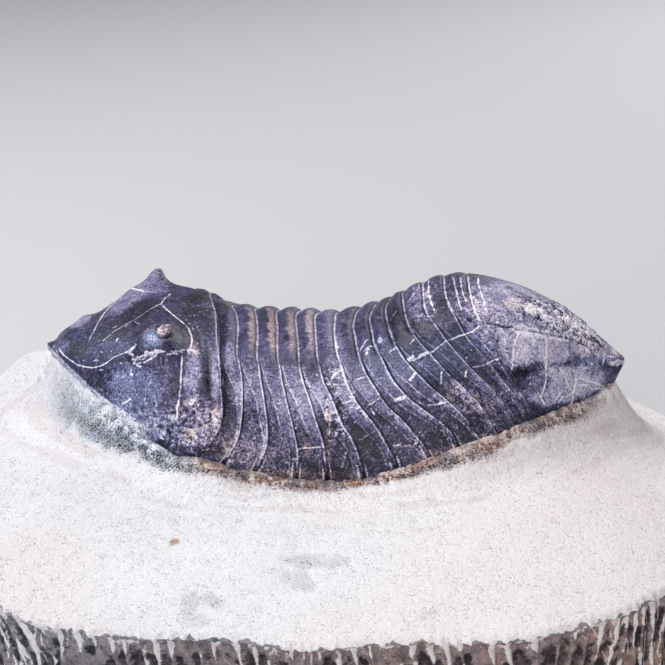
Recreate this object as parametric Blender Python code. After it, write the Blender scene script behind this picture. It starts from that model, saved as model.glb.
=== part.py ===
"""A trilobite fossil on its block of rock: the petrified animal lies along X, head towards -X.

All lengths are in metres. The origin is on the flat underside of the block, below the middle of
the fossil, with +Z up and the fossil's left side towards -Y.
"""

import bmesh
import bpy
import numpy as np

MM = 0.001

# Driving dimensions
BLOCK_LEFT = 101 * MM  # from the origin to the rock's rim on each side
BLOCK_RIGHT = 100 * MM
BLOCK_FRONT = 88 * MM
BLOCK_BACK = 58 * MM
BED_HEIGHT = 40 * MM  # the rock's top round the middle of the body, above the underside
GAP = 0.8 * MM  # between the fossil and the bed that it lies in
BURIED = 1.2 * MM  # how far the fossil's edge goes down into the bed

# The body at stations along it, in mm from the origin in plan and from BED_HEIGHT in height.
# A station's line runs from one edge over the crest to the other, as a segment's edge does.
# Columns: crest x, crest height, half width, edge x, edge height, backward bow of the line
STATIONS = MM * np.array(
    [
        (-74.0, 22.3, 2.0, -74.0, 21.6, 0.0),
        (-69.0, 24.6, 10.0, -69.0, 21.0, 0.0),
        (-62.0, 28.0, 19.2, -60.5, 17.0, 0.5),
        (-53.0, 31.4, 27.0, -50.0, 11.4, 2.0),
        (-43.0, 32.2, 32.4, -40.0, 6.4, 4.2),
        (-31.0, 28.4, 35.0, -32.4, 6.4, 5.6),
        (-20.5, 26.8, 36.2, -18.5, 2.6, 3.6),
        (-10.5, 26.2, 36.2, -1.5, 0.8, 2.2),
        (-1.0, 26.4, 35.8, 15.0, 3.0, 2.6),
        (8.0, 28.9, 33.5, 31.0, 8.3, 2.4),
        (17.0, 33.4, 29.8, 41.5, 10.0, 2.8),
        (28.5, 38.2, 26.2, 48.5, 11.8, 1.4),
        (35.0, 38.9, 24.3, 50.5, 11.4, 0.8),
        (47.0, 37.0, 19.0, 57.0, 11.4, 0.0),
        (58.0, 32.1, 13.5, 63.0, 11.2, 0.0),
        (69.0, 24.0, 8.2, 69.0, 11.4, 0.0),
        (76.0, 17.8, 4.6, 72.0, 11.8, 0.0),
    ]
)
CREST_X, CREST_Z, HALF_WIDTH, EDGE_X, EDGE_Z, BOW = range(6)
SNOUT, TAIL = STATIONS[0, CREST_X], STATIONS[-1, CREST_X]
ARCH_POWER = 2.2  # of the superellipse that a cross-section follows: 2 is an ellipse
SWEEP_POWER = 2.1  # how late on its way down a line leaves the crest's x for the edge's
BOW_POWER = 2.2  # how low down its side a line bows back the most

# Where the back edge of the head, then of each of the thirteen segments, crosses the crest
SEAMS = MM * np.array(
    [-31.1, -25.3, -20.4, -15.6, -10.5, -5.8, -1.1, 3.7, 8.0, 12.0, 16.7, 22.4, 28.4, 34.8]
)
HEAD_BACK = SEAMS[0]
# One segment from its front seam to its back seam: share of its length, height of its relief
SEGMENT_RELIEF = [(0.15, 0.4 * MM), (0.42, 0.9 * MM), (0.72, 0.95 * MM), (0.93, 0.45 * MM), (1.0, 0.0)]
TAIL_RELIEF = 0.4 * MM
FURROW_PLACE = 0.47  # the shallow furrow along each side of the middle lobe, where 1 is the edge
FURROW_DEPTH = 0.7 * MM
FURROW_WIDTH = 0.07

HEAD_STEP = 2.7 * MM  # the head's back edge stands this far above the first segment
HEAD_STEP_LENGTH = 9 * MM
SEAM_WIDTH = 0.4 * MM
# Each eye's place in plan, the height of its hill and the height at which the hill is cut off
LEFT_EYE = (-43.5 * MM, -20.0 * MM, 8.6 * MM, 4.6 * MM)
RIGHT_EYE = (-46.8 * MM, 20.0 * MM, 8.6 * MM, 8.6 * MM)
EYE_RADIUS = 5.2 * MM
END_BULGE = 0.8 * MM

POINTS_ACROSS = 27
HEAD_LINES = 26
TAIL_LINES = 13

# The block's outline in plan is a superellipse, squarer at the left, with slow waves on it
LEFT_SQUARENESS, RIGHT_SQUARENESS = 3.2, 2.7
RIM_WAVES = [(5, 1.1 * MM, 0.6), (8, 0.9 * MM, 2.0), (13, 0.5 * MM, 4.1)]  # count, height, phase
RIM_BEVEL = 2.5 * MM
WALL_LEAN = 2.0 * MM  # the wall's foot stands in by this much
UNDERSIDE_BEVEL = 1.5 * MM

# How far the top falls to the rim on each side
FRONT_FALL, BACK_FALL, RIGHT_FALL, LEFT_FALL = 12 * MM, 6 * MM, 9 * MM, 3 * MM
# Swells of the rock under the raised ends of the body: x, height, length, width
SWELLS = MM * np.array([(-62, 5.5, 28, 60), (56, 6.0, 22, 50)])
# The steep flank that carries the edge: its width at the sides, at the snout and at the tail
FLANK_SIDE, FLANK_SNOUT, FLANK_TAIL = 4.5 * MM, 5.5 * MM, 11 * MM
FLANK_POWER = 1.5
FLANK_STEPS = MM * np.array([1.8, 4, 7, 11.5])
FIELD_SHARES = [0.25, 0.5, 0.75, 1.0]  # of the way from the flank's foot to the rim's bevel
EDGE_SPACING = 5.5 * MM


def spline(knots, values, places):
    """A natural cubic spline through the values at the knots, read at the places."""
    count = len(knots)
    step = np.diff(knots)
    slope = np.diff(values) / step
    matrix = np.eye(count)
    bend = np.zeros(count)
    for i in range(1, count - 1):
        matrix[i, i - 1 : i + 2] = step[i - 1], 2 * (step[i - 1] + step[i]), step[i]
        bend[i] = 6 * (slope[i] - slope[i - 1])
    second = np.linalg.solve(matrix, bend)
    left = np.clip(np.searchsorted(knots, places) - 1, 0, count - 2)
    along = places - knots[left]
    width = step[left]
    first = slope[left] - width * (2 * second[left] + second[left + 1]) / 6
    cubic = (second[left + 1] - second[left]) / (6 * width)
    return values[left] + along * (first + along * (second[left] / 2 + along * cubic))


def read_stations(place, *columns):
    """The named columns of the stations table at a place along the crest."""
    return [spline(STATIONS[:, CREST_X], STATIONS[:, column], place) for column in columns]


def bump(distance, width):
    """1 at no distance, falling off on both sides as a bell curve of the given width."""
    return np.exp(-((distance / width) ** 2))


def shell_line(place, relief=0.0, on_head=False):
    """One line of points over the upper surface, from the left edge over the crest to the right.

    An angle runs from -90 to 90 degrees across the body, and the section is a superellipse of it.
    The line goes from the crest's x to the edge's x as a power of the share of the way down, and
    a sine bows it back on the way. Relief lifts it square to the section.
    """
    across = np.linspace(-1, 1, POINTS_ACROSS)
    share = np.abs(across)
    angle = across * np.pi / 2
    crest_z, half_width, edge_x, edge_z, bow = read_stations(
        place, CREST_Z, HALF_WIDTH, EDGE_X, EDGE_Z, BOW
    )
    x = place + (edge_x - place) * share**SWEEP_POWER + bow * np.sin(np.pi * share**BOW_POWER)
    y = np.sign(across) * half_width * np.abs(np.sin(angle)) ** (2 / ARCH_POWER)
    z = edge_z + (crest_z - edge_z) * np.abs(np.cos(angle)) ** (2 / ARCH_POWER)

    clear_of_edge = 1 - share**8
    if on_head:
        rise = HEAD_STEP * bump(place - HEAD_BACK, HEAD_STEP_LENGTH) * clear_of_edge
    else:
        rise = relief * clear_of_edge - FURROW_DEPTH * bump(share - FURROW_PLACE, FURROW_WIDTH)
    y += rise * np.sin(angle)
    z += rise * np.cos(angle)
    if on_head:
        for eye_x, eye_y, hill, cut in (LEFT_EYE, RIGHT_EYE):
            away = np.hypot(x - eye_x, y - eye_y) / EYE_RADIUS
            z += np.minimum(hill * np.exp(-(away**1.25)), cut)
    return np.stack([x, y, z + BED_HEIGHT], axis=-1)


def shell_lines():
    """The lines from the snout to the tail: the head, its back step, the segments, the tail."""
    head = SNOUT + (HEAD_BACK - SNOUT) * np.linspace(0, 1, HEAD_LINES) ** 1.2
    lines = [shell_line(place, on_head=True) for place in head]
    lines.append(shell_line(HEAD_BACK + SEAM_WIDTH))
    for front, back in zip(SEAMS[:-1], SEAMS[1:]):
        for share, relief in SEGMENT_RELIEF:
            lines.append(shell_line(front + (back - front) * share, relief))
    for place in np.linspace(SEAMS[-1], TAIL, TAIL_LINES)[1:]:
        lines.append(shell_line(place, TAIL_RELIEF))
    return lines


def add_loop(mesh, points):
    return [mesh.verts.new(point) for point in points]


def bridge(mesh, first, second):
    """Quads between two closed loops with as many vertices."""
    for i in range(len(first)):
        mesh.faces.new((first[i - 1], first[i], second[i], second[i - 1]))


def cap(mesh, loop, centre):
    """A fan of triangles that closes a loop."""
    middle = mesh.verts.new(centre)
    for i in range(len(loop)):
        mesh.faces.new((loop[i - 1], loop[i], middle))


def make_object(mesh, name, color, roughness):
    """The mesh as a smooth-shaded object with a material of its own."""
    bmesh.ops.recalc_face_normals(mesh, faces=mesh.faces)
    data = bpy.data.meshes.new(name)
    mesh.to_mesh(data)
    mesh.free()
    data.shade_smooth()
    data.set_sharp_from_angle(angle=np.radians(30))
    material = bpy.data.materials.new(name)
    material.use_nodes = True
    shader = material.node_tree.nodes["Principled BSDF"]
    shader.inputs["Base Color"].default_value = (*color, 1)
    shader.inputs["Roughness"].default_value = roughness
    shader.inputs["Metallic"].default_value = 0
    data.materials.append(material)
    made = bpy.data.objects.new(name, data)
    bpy.context.collection.objects.link(made)


def make_trilobite():
    """The petrified animal: a loft over the lines, closed by a flat-bottomed underside."""
    mesh = bmesh.new()
    loops = []
    for line in shell_lines():
        left, right = line[0].copy(), line[-1].copy()
        left[2] -= BURIED
        right[2] -= BURIED
        loops.append(add_loop(mesh, [left, *line, right]))
    for first, second in zip(loops[:-1], loops[1:]):
        bridge(mesh, first, second)
    for loop, outwards in ((loops[0], -END_BULGE), (loops[-1], END_BULGE)):
        centre = np.mean([vertex.co for vertex in loop], axis=0)
        cap(mesh, loop, centre + (outwards, 0, 0))
    make_object(mesh, "trilobite", (0.07, 0.065, 0.1), 0.45)


def edge_loop():
    """The fossil's edge in plan moved out by the gap, once round: x, y, height of the edge."""
    place = np.linspace(SNOUT, TAIL, 400)
    x, y, z = read_stations(place, EDGE_X, HALF_WIDTH, EDGE_Z)
    run = np.concatenate([[0], np.cumsum(np.hypot(np.diff(x), np.diff(y)))])
    even = np.linspace(0, run[-1], round(run[-1] / EDGE_SPACING) + 1)
    x, y, z = (np.interp(even, run, values) for values in (x, y, z))
    x, y, z = np.concatenate([x, x[::-1]]), np.concatenate([-y, y[::-1]]), np.concatenate([z, z[::-1]])
    along = np.stack([np.roll(x, -1) - np.roll(x, 1), np.roll(y, -1) - np.roll(y, 1)])
    along /= np.hypot(*along)
    return x + along[1] * GAP, y - along[0] * GAP, z + BED_HEIGHT


def rim_radius(angle):
    """How far the block's rim is from the origin in each direction."""
    east, north = np.cos(angle), np.sin(angle)
    half_length = np.where(east < 0, BLOCK_LEFT, BLOCK_RIGHT)
    half_depth = np.where(north < 0, BLOCK_FRONT, BLOCK_BACK)
    power = np.where(east < 0, LEFT_SQUARENESS, RIGHT_SQUARENESS)
    radius = (np.abs(east / half_length) ** power + np.abs(north / half_depth) ** power) ** (-1 / power)
    for count, height, phase in RIM_WAVES:
        radius += height * np.sin(count * angle + phase)
    return radius


def field_height(x, y):
    """The rock's top away from the fossil: swells under its ends, falling to the rim all round."""
    height = np.full_like(x, BED_HEIGHT)
    for swell_x, rise, length, width in SWELLS:
        height += rise * bump(x - swell_x, length) * bump(y, width)
    height -= FRONT_FALL * np.clip(-y / BLOCK_FRONT, 0, 1) ** 2.5
    height -= BACK_FALL * np.clip(y / BLOCK_BACK, 0, 1) ** 2
    height -= RIGHT_FALL * np.clip(x / BLOCK_RIGHT, 0, 1) ** 4
    height -= LEFT_FALL * np.clip(-x / BLOCK_LEFT, 0, 1) ** 4
    return height


def make_matrix():
    """The block: rings from the bed's lip down the flank and over the top to the rim and wall."""
    lip_x, lip_y, lip_z = edge_loop()
    angle = np.arctan2(lip_y, lip_x)
    start = np.hypot(lip_x, lip_y)
    rim = rim_radius(angle)
    east = np.cos(angle)
    flank = FLANK_SIDE + (FLANK_SNOUT - FLANK_SIDE) * np.clip(-east, 0, 1) ** 8
    flank += (FLANK_TAIL - FLANK_SIDE) * np.clip(east, 0, 1) ** 8

    def ring(radius, height):
        return np.stack([radius * np.cos(angle), radius * np.sin(angle), height], axis=-1)

    def top_ring(away):
        radius = start + away
        field = field_height(radius * np.cos(angle), radius * np.sin(angle))
        return ring(radius, field + (lip_z - field) * np.exp(-((away / flank) ** FLANK_POWER)))

    foot = FLANK_STEPS[-1]
    rings = [ring(start, lip_z - BURIED - GAP), ring(start, lip_z)]
    rings += [top_ring(away) for away in FLANK_STEPS]
    rings += [top_ring(foot + (rim - RIM_BEVEL - start - foot) * share) for share in FIELD_SHARES]
    rings.append(ring(rim, rings[-1][:, 2] - RIM_BEVEL))
    rings.append(ring(rim - WALL_LEAN / 2, rings[-1][:, 2] / 2))
    rings.append(ring(rim - WALL_LEAN, np.full_like(rim, UNDERSIDE_BEVEL)))
    rings.append(ring(rim - WALL_LEAN - UNDERSIDE_BEVEL, np.zeros_like(rim)))

    mesh = bmesh.new()
    loops = [add_loop(mesh, points) for points in rings]
    for first, second in zip(loops[:-1], loops[1:]):
        bridge(mesh, first, second)
    cap(mesh, loops[-1], (0, 0, 0))
    bed = loops[0]
    for i in range(len(bed) // 2 - 1):
        mesh.faces.new((bed[i], bed[i + 1], bed[-i - 2], bed[-i - 1]))
    make_object(mesh, "matrix", (0.75, 0.72, 0.67), 0.9)


for old in list(bpy.data.objects):
    bpy.data.objects.remove(old)
make_trilobite()
make_matrix()
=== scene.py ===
# %% [markdown]
# # A trilobite fossil on its block of rock
# The real object is a petrified animal, dark and glossy as polished slate, that a preparator has
# freed from pale granular rock and left lying on it. Blender gets two plain solids to start from:
# the fossil and the block. This lesson replaces both with fine surfaces of the same size.

import bpy
import numpy as np
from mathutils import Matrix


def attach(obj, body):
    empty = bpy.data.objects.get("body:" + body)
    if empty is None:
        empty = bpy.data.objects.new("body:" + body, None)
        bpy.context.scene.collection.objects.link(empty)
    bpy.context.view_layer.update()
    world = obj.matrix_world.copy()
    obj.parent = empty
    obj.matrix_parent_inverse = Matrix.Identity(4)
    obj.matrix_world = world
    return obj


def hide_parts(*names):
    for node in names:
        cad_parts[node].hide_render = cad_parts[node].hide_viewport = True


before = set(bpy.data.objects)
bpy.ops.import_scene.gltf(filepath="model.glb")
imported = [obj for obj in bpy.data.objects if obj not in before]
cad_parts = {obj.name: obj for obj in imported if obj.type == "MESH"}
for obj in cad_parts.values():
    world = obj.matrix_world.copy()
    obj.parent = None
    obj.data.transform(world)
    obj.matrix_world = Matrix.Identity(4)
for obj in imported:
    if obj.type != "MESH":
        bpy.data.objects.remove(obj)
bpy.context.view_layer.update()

MM = 0.001
print("solids:", sorted(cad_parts))

# %% [markdown]
# ## The body's main dimensions
# The animal lies along X with its head towards -X. Seventeen stations say how high its back is, how
# wide it is and where its edge goes down into the rock. The same numbers shaped the plain solid, so
# everything made from them here lands in the same place, and nothing has to be fitted afterwards.

# %% Driving dimensions of the fossil
BED_HEIGHT = 40 * MM  # the rock's top round the middle of the body, above the underside
# Columns: crest x, crest height, half width, edge x, edge height, backward bow of the line
STATIONS = MM * np.array(
    [
        (-74.0, 22.3, 2.0, -74.0, 21.6, 0.0),
        (-69.0, 24.6, 10.0, -69.0, 21.0, 0.0),
        (-62.0, 28.0, 19.2, -60.5, 17.0, 0.5),
        (-53.0, 31.4, 27.0, -50.0, 11.4, 2.0),
        (-43.0, 32.2, 32.4, -40.0, 6.4, 4.2),
        (-31.0, 28.4, 35.0, -32.4, 6.4, 5.6),
        (-20.5, 26.8, 36.2, -18.5, 2.6, 3.6),
        (-10.5, 26.2, 36.2, -1.5, 0.8, 2.2),
        (-1.0, 26.4, 35.8, 15.0, 3.0, 2.6),
        (8.0, 28.9, 33.5, 31.0, 8.3, 2.4),
        (17.0, 33.4, 29.8, 41.5, 10.0, 2.8),
        (28.5, 38.2, 26.2, 48.5, 11.8, 1.4),
        (35.0, 38.9, 24.3, 50.5, 11.4, 0.8),
        (47.0, 37.0, 19.0, 57.0, 11.4, 0.0),
        (58.0, 32.1, 13.5, 63.0, 11.2, 0.0),
        (69.0, 24.0, 8.2, 69.0, 11.4, 0.0),
        (76.0, 17.8, 4.6, 72.0, 11.8, 0.0),
    ]
)
CREST_X, CREST_Z, HALF_WIDTH, EDGE_X, EDGE_Z, BOW = range(6)
SNOUT, TAIL = STATIONS[0, CREST_X], STATIONS[-1, CREST_X]
ARCH_POWER = 2.2  # of the superellipse that a cross-section follows
SWEEP_POWER = 2.1  # how late on its way down a line leaves the crest's x for the edge's
BOW_POWER = 2.2  # how low down its side a line bows back the most

# Where the back edge of the head, then of each of the thirteen segments, crosses the crest
SEAMS = MM * np.array(
    [-31.1, -25.3, -20.4, -15.6, -10.5, -5.8, -1.1, 3.7, 8.0, 12.0, 16.7, 22.4, 28.4, 34.8]
)
HEAD_BACK = SEAMS[0]
HEAD_STEP, HEAD_STEP_LENGTH = 2.7 * MM, 9 * MM
# Each eye's place in plan, the height of its hill and the height at which the hill is cut off
LEFT_EYE = (-43.5 * MM, -20.0 * MM, 8.6 * MM, 4.6 * MM)
RIGHT_EYE = (-46.8 * MM, 20.0 * MM, 8.6 * MM, 8.6 * MM)
EYE_RADIUS, EYE_BLUNTNESS, EYE_POWER = 5.2 * MM, 1.6 * MM, 1.25
EDGE_POWER = 8  # of the share across, with which what stands on the head ends at its edge
print(len(STATIONS), "stations,", len(SEAMS) - 1, "segments between the head and the tail")

# %% [markdown]
# ## Curves, bells and soft steps
# Every form below is a sum of simple curves. A natural cubic spline runs smoothly through the
# stations, a bell makes one rounded hill or groove, and a soft step fades one thing into the next.

# %% Small mathematical helpers
def spline(knots, values, places):
    """A natural cubic spline through the values at the knots, read at the places.

    The second derivatives come from the usual tridiagonal system and are zero at both ends; each
    span is then the cubic with those second derivatives.
    """
    count = len(knots)
    step = np.diff(knots)
    slope = np.diff(values) / step
    matrix = np.eye(count)
    bend = np.zeros(count)
    for i in range(1, count - 1):
        matrix[i, i - 1 : i + 2] = step[i - 1], 2 * (step[i - 1] + step[i]), step[i]
        bend[i] = 6 * (slope[i] - slope[i - 1])
    second = np.linalg.solve(matrix, bend)
    left = np.clip(np.searchsorted(knots, places) - 1, 0, count - 2)
    along = places - knots[left]
    width = step[left]
    first = slope[left] - width * (2 * second[left] + second[left + 1]) / 6
    cubic = (second[left + 1] - second[left]) / (6 * width)
    return values[left] + along * (first + along * (second[left] / 2 + along * cubic))


def read_stations(place, *columns):
    """The named columns of the stations table at places along the crest."""
    return [spline(STATIONS[:, CREST_X], STATIONS[:, column], place) for column in columns]


def bell(distance, width):
    """1 at no distance, falling off on both sides as exp(-(distance / width) squared)."""
    return np.exp(-((distance / width) ** 2))


def soft_step(value, low, high):
    """0 up to low, 1 from high on, and 3 s^2 - 2 s^3 of the share s of the way between them."""
    share = np.clip((value - low) / (high - low), 0, 1)
    return share * share * (3 - 2 * share)


def soft_fall(value, low, high):
    """1 up to low and 0 from high on: a soft step turned round."""
    return soft_step(-value, -high, -low)


print("half way up a soft step:", soft_step(0.5, 0, 1))

# %% [markdown]
# ## Random roughness that never changes
# Rock is irregular at every scale. Lattice noise gives that: random numbers at the corners of a grid
# of cells, blended smoothly in between, and several sizes of it added up. The random numbers come
# from a seeded generator, so each run makes the same stone.

# %% Lattice noise
LATTICE = 64  # cells before the noise repeats


def noise(points, cell, seed):
    """Smooth random numbers from -1 to 1 in space: lattice values blended by soft steps."""
    table = np.random.default_rng(seed).random((LATTICE, LATTICE, LATTICE)) * 2 - 1
    scaled = points / cell
    low = np.floor(scaled).astype(int)
    part = scaled - low
    part = part * part * (3 - 2 * part)
    value = np.zeros(points.shape[:-1])
    for corner in np.ndindex(2, 2, 2):
        weight = np.prod(np.where(corner, part, 1 - part), axis=-1)
        ix, iy, iz = np.moveaxis((low + corner) % LATTICE, -1, 0)
        value += weight * table[ix, iy, iz]
    return value


def rough(points, cell, seed, octaves=3, gain=0.5):
    """Noise of several sizes: each octave has half the cell and a share, gain, of the height."""
    height, total = 1.0, 0.0
    value = np.zeros(points.shape[:-1])
    for octave in range(octaves):
        value += height * noise(points, cell / 2**octave, seed + octave)
        total += height
        height *= gain
    return value / total


print("noise at three points:", noise(np.array([[0, 0, 0], [0.3, 0, 0], [2.5, 1, 0]]), 1.0, 1).round(2))

# %% [markdown]
# ## The smooth body
# A carapace could be sculpted or lofted through drawn sections. Here it is one function of two
# numbers: the place along the crest and the share of the way across, from -1 at the left edge over
# 0 at the crest to 1 at the right edge. Any grid of those numbers gives a surface, as fine as wanted.

# %% The body as a function of two numbers
def body_surface(place, across, head_back=HEAD_BACK):
    """Points of the smooth body.

    Across the body the section is a superellipse. A line leaves the crest's x for the edge's x as a
    power of the share of the way down, and a sine bows it back. The head rises as a bell towards
    its back edge, and each eye is a hill that falls as exp(-distance^1.25), cut off at its top.
    """
    share = np.abs(across)
    angle = across * np.pi / 2
    crest_z, half_width, edge_x, edge_z, bow = read_stations(
        place, CREST_Z, HALF_WIDTH, EDGE_X, EDGE_Z, BOW
    )
    x = place + (edge_x - place) * share**SWEEP_POWER + bow * np.sin(np.pi * share**BOW_POWER)
    y = np.sign(across) * half_width * np.abs(np.sin(angle)) ** (2 / ARCH_POWER)
    z = edge_z + (crest_z - edge_z) * np.abs(np.cos(angle)) ** (2 / ARCH_POWER)
    on_head = place <= head_back
    rise = on_head * HEAD_STEP * bell(place - head_back, HEAD_STEP_LENGTH) * (1 - share**EDGE_POWER)
    y = y + rise * np.sin(angle)
    z = z + rise * np.cos(angle)
    for eye_x, eye_y, hill, cut in (LEFT_EYE, RIGHT_EYE):
        away = np.sqrt((x - eye_x) ** 2 + (y - eye_y) ** 2 + EYE_BLUNTNESS**2) / EYE_RADIUS
        z = z + on_head * np.minimum(hill * np.exp(-(away**EYE_POWER)), cut)
    return np.stack([x, y, z + BED_HEIGHT], axis=-1)


def normals_of(points):
    """Unit normals of a grid of points: the cross product of its two directions of travel."""
    along = np.gradient(points, axis=0)
    over = np.gradient(points, axis=1)
    normal = np.cross(along, over)
    return normal / np.maximum(np.linalg.norm(normal, axis=-1, keepdims=True), 1e-12)


middle = body_surface(np.array([0.0]), np.array([0.0]))[0]
print("crest above the origin at", (middle / MM).round(1), "mm")

# %% [markdown]
# ## The camera, and where its pixels fall
# The camera stands where the photographer's stood: 23 degrees above the horizon, with a long lens.
# Veins and stains were read off the picture, so they are held as pixels of its 665 x 665 frame, and
# the same camera formula says where on the body each of them lies.

# %% Camera and the way from points to pixels
IMAGE_SIDE = 665
CAMERA_ELEVATION = np.radians(23)
CAMERA_DISTANCE = 385.56 * MM
CAMERA_TARGET = np.array([0, 0, 64.5 * MM])
LENS, SENSOR = 80, 36
FOCAL_PIXELS = IMAGE_SIDE * LENS / SENSOR
LOOK = np.array([0, np.cos(CAMERA_ELEVATION), -np.sin(CAMERA_ELEVATION)])
UP = np.array([0, np.sin(CAMERA_ELEVATION), np.cos(CAMERA_ELEVATION)])
CAMERA_PLACE = CAMERA_TARGET - CAMERA_DISTANCE * LOOK


def to_pixels(points):
    """Each point's pixel: its sideways and upward offsets over its depth, times the focal length."""
    offset = points - CAMERA_TARGET
    depth = CAMERA_DISTANCE + offset @ LOOK
    right = IMAGE_SIDE / 2 + FOCAL_PIXELS * offset[..., 0] / depth
    down = IMAGE_SIDE / 2 - FOCAL_PIXELS * (offset @ UP) / depth
    return np.stack([right, down], axis=-1)


camera_data = bpy.data.cameras.new("camera")
camera_data.lens = LENS
camera_data.sensor_width = SENSOR
camera_data.clip_start = 10 * MM
camera = bpy.data.objects.new("camera", camera_data)
camera.location = CAMERA_PLACE
camera.rotation_euler = (np.pi / 2 - CAMERA_ELEVATION, 0, 0)
bpy.context.scene.collection.objects.link(camera)
bpy.context.scene.camera = camera
print("camera at", (CAMERA_PLACE / MM).round(1), "mm")
print("crest of the body at pixel", to_pixels(middle).round(1))

# %% [markdown]
# ## From a pixel to a place on the body
# Going back from a pixel has no formula, so a fine net is laid over the side of the body that the
# camera sees, and each pixel takes the net's nearest knot. That gives a traced line its place and
# share across on the body, and its points in space.

# %% The lookup net
NET_ROWS, NET_COLUMNS = 520, 341
NET_END = 0.7  # the share across, on the far side, that the camera never sees past


def make_lookup(head_back):
    """The net's knots that face the camera, for a given back line of the head."""
    rows = np.linspace(SNOUT, TAIL, NET_ROWS)
    place, across = np.meshgrid(rows, np.linspace(-1, NET_END, NET_COLUMNS), indexing="ij")
    points = body_surface(place, across, head_back(across))
    facing = np.sum(normals_of(points) * (CAMERA_PLACE - points), axis=-1) > 0
    points = points[facing]
    depth = (points - CAMERA_PLACE) @ LOOK
    return {
        "place": place[facing],
        "across": across[facing],
        "points": points,
        "pixels": to_pixels(points),
        "depth": depth - depth.min(),
    }


lookup = make_lookup(lambda across: HEAD_BACK)
DEPTH_COST = 0.4 / MM  # square pixels of error that a point nearer by a metre may have
TRACE_STEP = 4  # pixels between the points of a traced line


def trace(text):
    """A traced line, from 'x,y x,y ...' to an array of pixels."""
    return np.array([[float(value) for value in pair.split(",")] for pair in text.split()])


def nearest_knots(pixels):
    """The number of each pixel's nearest knot; of two almost as near, the one in front counts."""
    away = np.sum((lookup["pixels"][None] - pixels[:, None]) ** 2, axis=-1)
    return np.argmin(away + DEPTH_COST * lookup["depth"], axis=1)


def on_body(pixels):
    """Place, share across and points in space of a traced line, filled in to even small steps."""
    run = np.concatenate([[0], np.cumsum(np.hypot(*np.diff(pixels, axis=0).T))])
    even = np.linspace(0, run[-1], max(2, round(run[-1] / TRACE_STEP) + 1))
    even_pixels = np.stack([np.interp(even, run, pixels[:, i]) for i in range(2)], axis=-1)
    nearest = nearest_knots(even_pixels)
    return lookup["place"][nearest], lookup["across"][nearest], lookup["points"][nearest]


print(len(lookup["place"]), "knots of the net face the camera")

# %% [markdown]
# ## The seams between the segments
# The back edge of the head and of each segment is a line over the body. The formula's lines are
# close to the real ones, and traces of the real ones correct them by a millimetre or two. The far
# side of the animal isn't in the picture: it takes the same corrections, mirrored.

# %% Seams as traced lines
SEAM_TRACES = [
    "216,292 217,300 217,310 218,325 219,345 222,365 223,380 224,405 221,425 214,440 200,456",
    "239,305 239,320 237,350 238,362 242,382 242,410 239,436 234,445 226,460",
    "258,308 258,335 257,350 258,365 262,390 265,412 268,435 265,450 262,456",
    "277,310 278,340 278,360 282,382 287,405 291,420 297,447 297,460",
    "296,313 298,340 300,370 308,395 315,421 322,440 326,465",
    "315,314 316,340 318,360 322,378 332,400 341,424 350,437 357,450 361,470",
    "336,308 335,312 333,325 336,347 342,367 349,390 360,407 372,422 384,440 393,456 395,467",
    "354,308 351,320 357,350 365,373 376,389 387,407 402,419 416,436 425,448 428,455",
    "371,303 367,313 372,338 384,363 392,380 405,396 421,408 437,420 450,430 457,446",
    "389,294 387,296 383,306 388,328 398,350 408,363 421,377 435,391 450,403 465,418 475,431 483,438",
    "401,288 401,292 402,302 405,315 409,327 420,343 433,357 446,372 460,385 475,400 489,417 500,436",
    "422,281 424,310 430,318 437,328 450,345 463,361 477,375 491,388 503,402 516,423",
    "444,275 444,287 448,303 455,317 463,333 475,348 488,362 498,375 508,388 519,404 527,419",
    "467,275 470,290 473,303 481,320 490,331 498,342 501,353 509,368 517,383 521,392 531,411 534,419",
]
SEAM_KNOTS = np.linspace(-1, 1, 81)
MOST_DRIFT = 4 * MM
FAR_SIDE = 0.42, 0.62  # shares across between which the mirrored drift takes over
FAR_STRAIGHTENING = {0: 5.3 * MM, 1: 3 * MM, 2: 1.5 * MM}  # how far forward the far side is drawn
STRAIGHT_MIDDLE, STRAIGHT_WIDTH = 0.5, 0.3  # where across it is drawn forward the most
SMOOTHING = np.array([1, 2, 3, 2, 1]) / 9


def seam_row(index):
    """One seam's place along the crest at each knot across, with its traced drift smoothed."""
    place, across, _ = on_body(trace(SEAM_TRACES[index]))
    order = np.argsort(across)
    drift = np.clip(place - SEAMS[index], -MOST_DRIFT, MOST_DRIFT)[order]
    drift = np.interp(SEAM_KNOTS, across[order], drift)
    far = soft_step(SEAM_KNOTS, *FAR_SIDE)
    drift = drift * (1 - far) + drift[::-1] * far
    drawn = bell(SEAM_KNOTS - STRAIGHT_MIDDLE, STRAIGHT_WIDTH)
    drift = drift - FAR_STRAIGHTENING.get(index, 0) * drawn * (SEAM_KNOTS > 0)
    padded = np.pad(drift, len(SMOOTHING) // 2, mode="edge")
    return SEAMS[index] + np.convolve(padded, SMOOTHING, mode="valid")


SEAM_ROWS = np.array([seam_row(index) for index in range(len(SEAMS))])


def seam_place(index, across):
    """Where along the crest's scale a seam lies, at any share of the way across."""
    return np.interp(across, SEAM_KNOTS, SEAM_ROWS[index])


def segment_number(place, across):
    """0 at the head's back edge, then 1 more at each seam, growing evenly in between."""
    number = np.zeros(np.broadcast(place, across).shape)
    for index in range(len(SEAMS) - 1):
        front = seam_place(index, across)
        back = seam_place(index + 1, across)
        number += np.clip((place - front) / (back - front), 0, 1)
    return number


lookup = make_lookup(lambda across: seam_place(0, across))  # now with the real back line of the head
print("largest drift of a seam:", round(np.abs(SEAM_ROWS - SEAMS[:, None]).max() / MM, 2), "mm")

# %% [markdown]
# ## Veins, cracks and scratches
# Thin pale veins of mineral stand a little proud of the shell, cracks are dark and sunk, and the
# tools of the preparator left white scratches. All of them are traced lines with a width, a height
# and a share of each colour that they bring.

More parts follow.
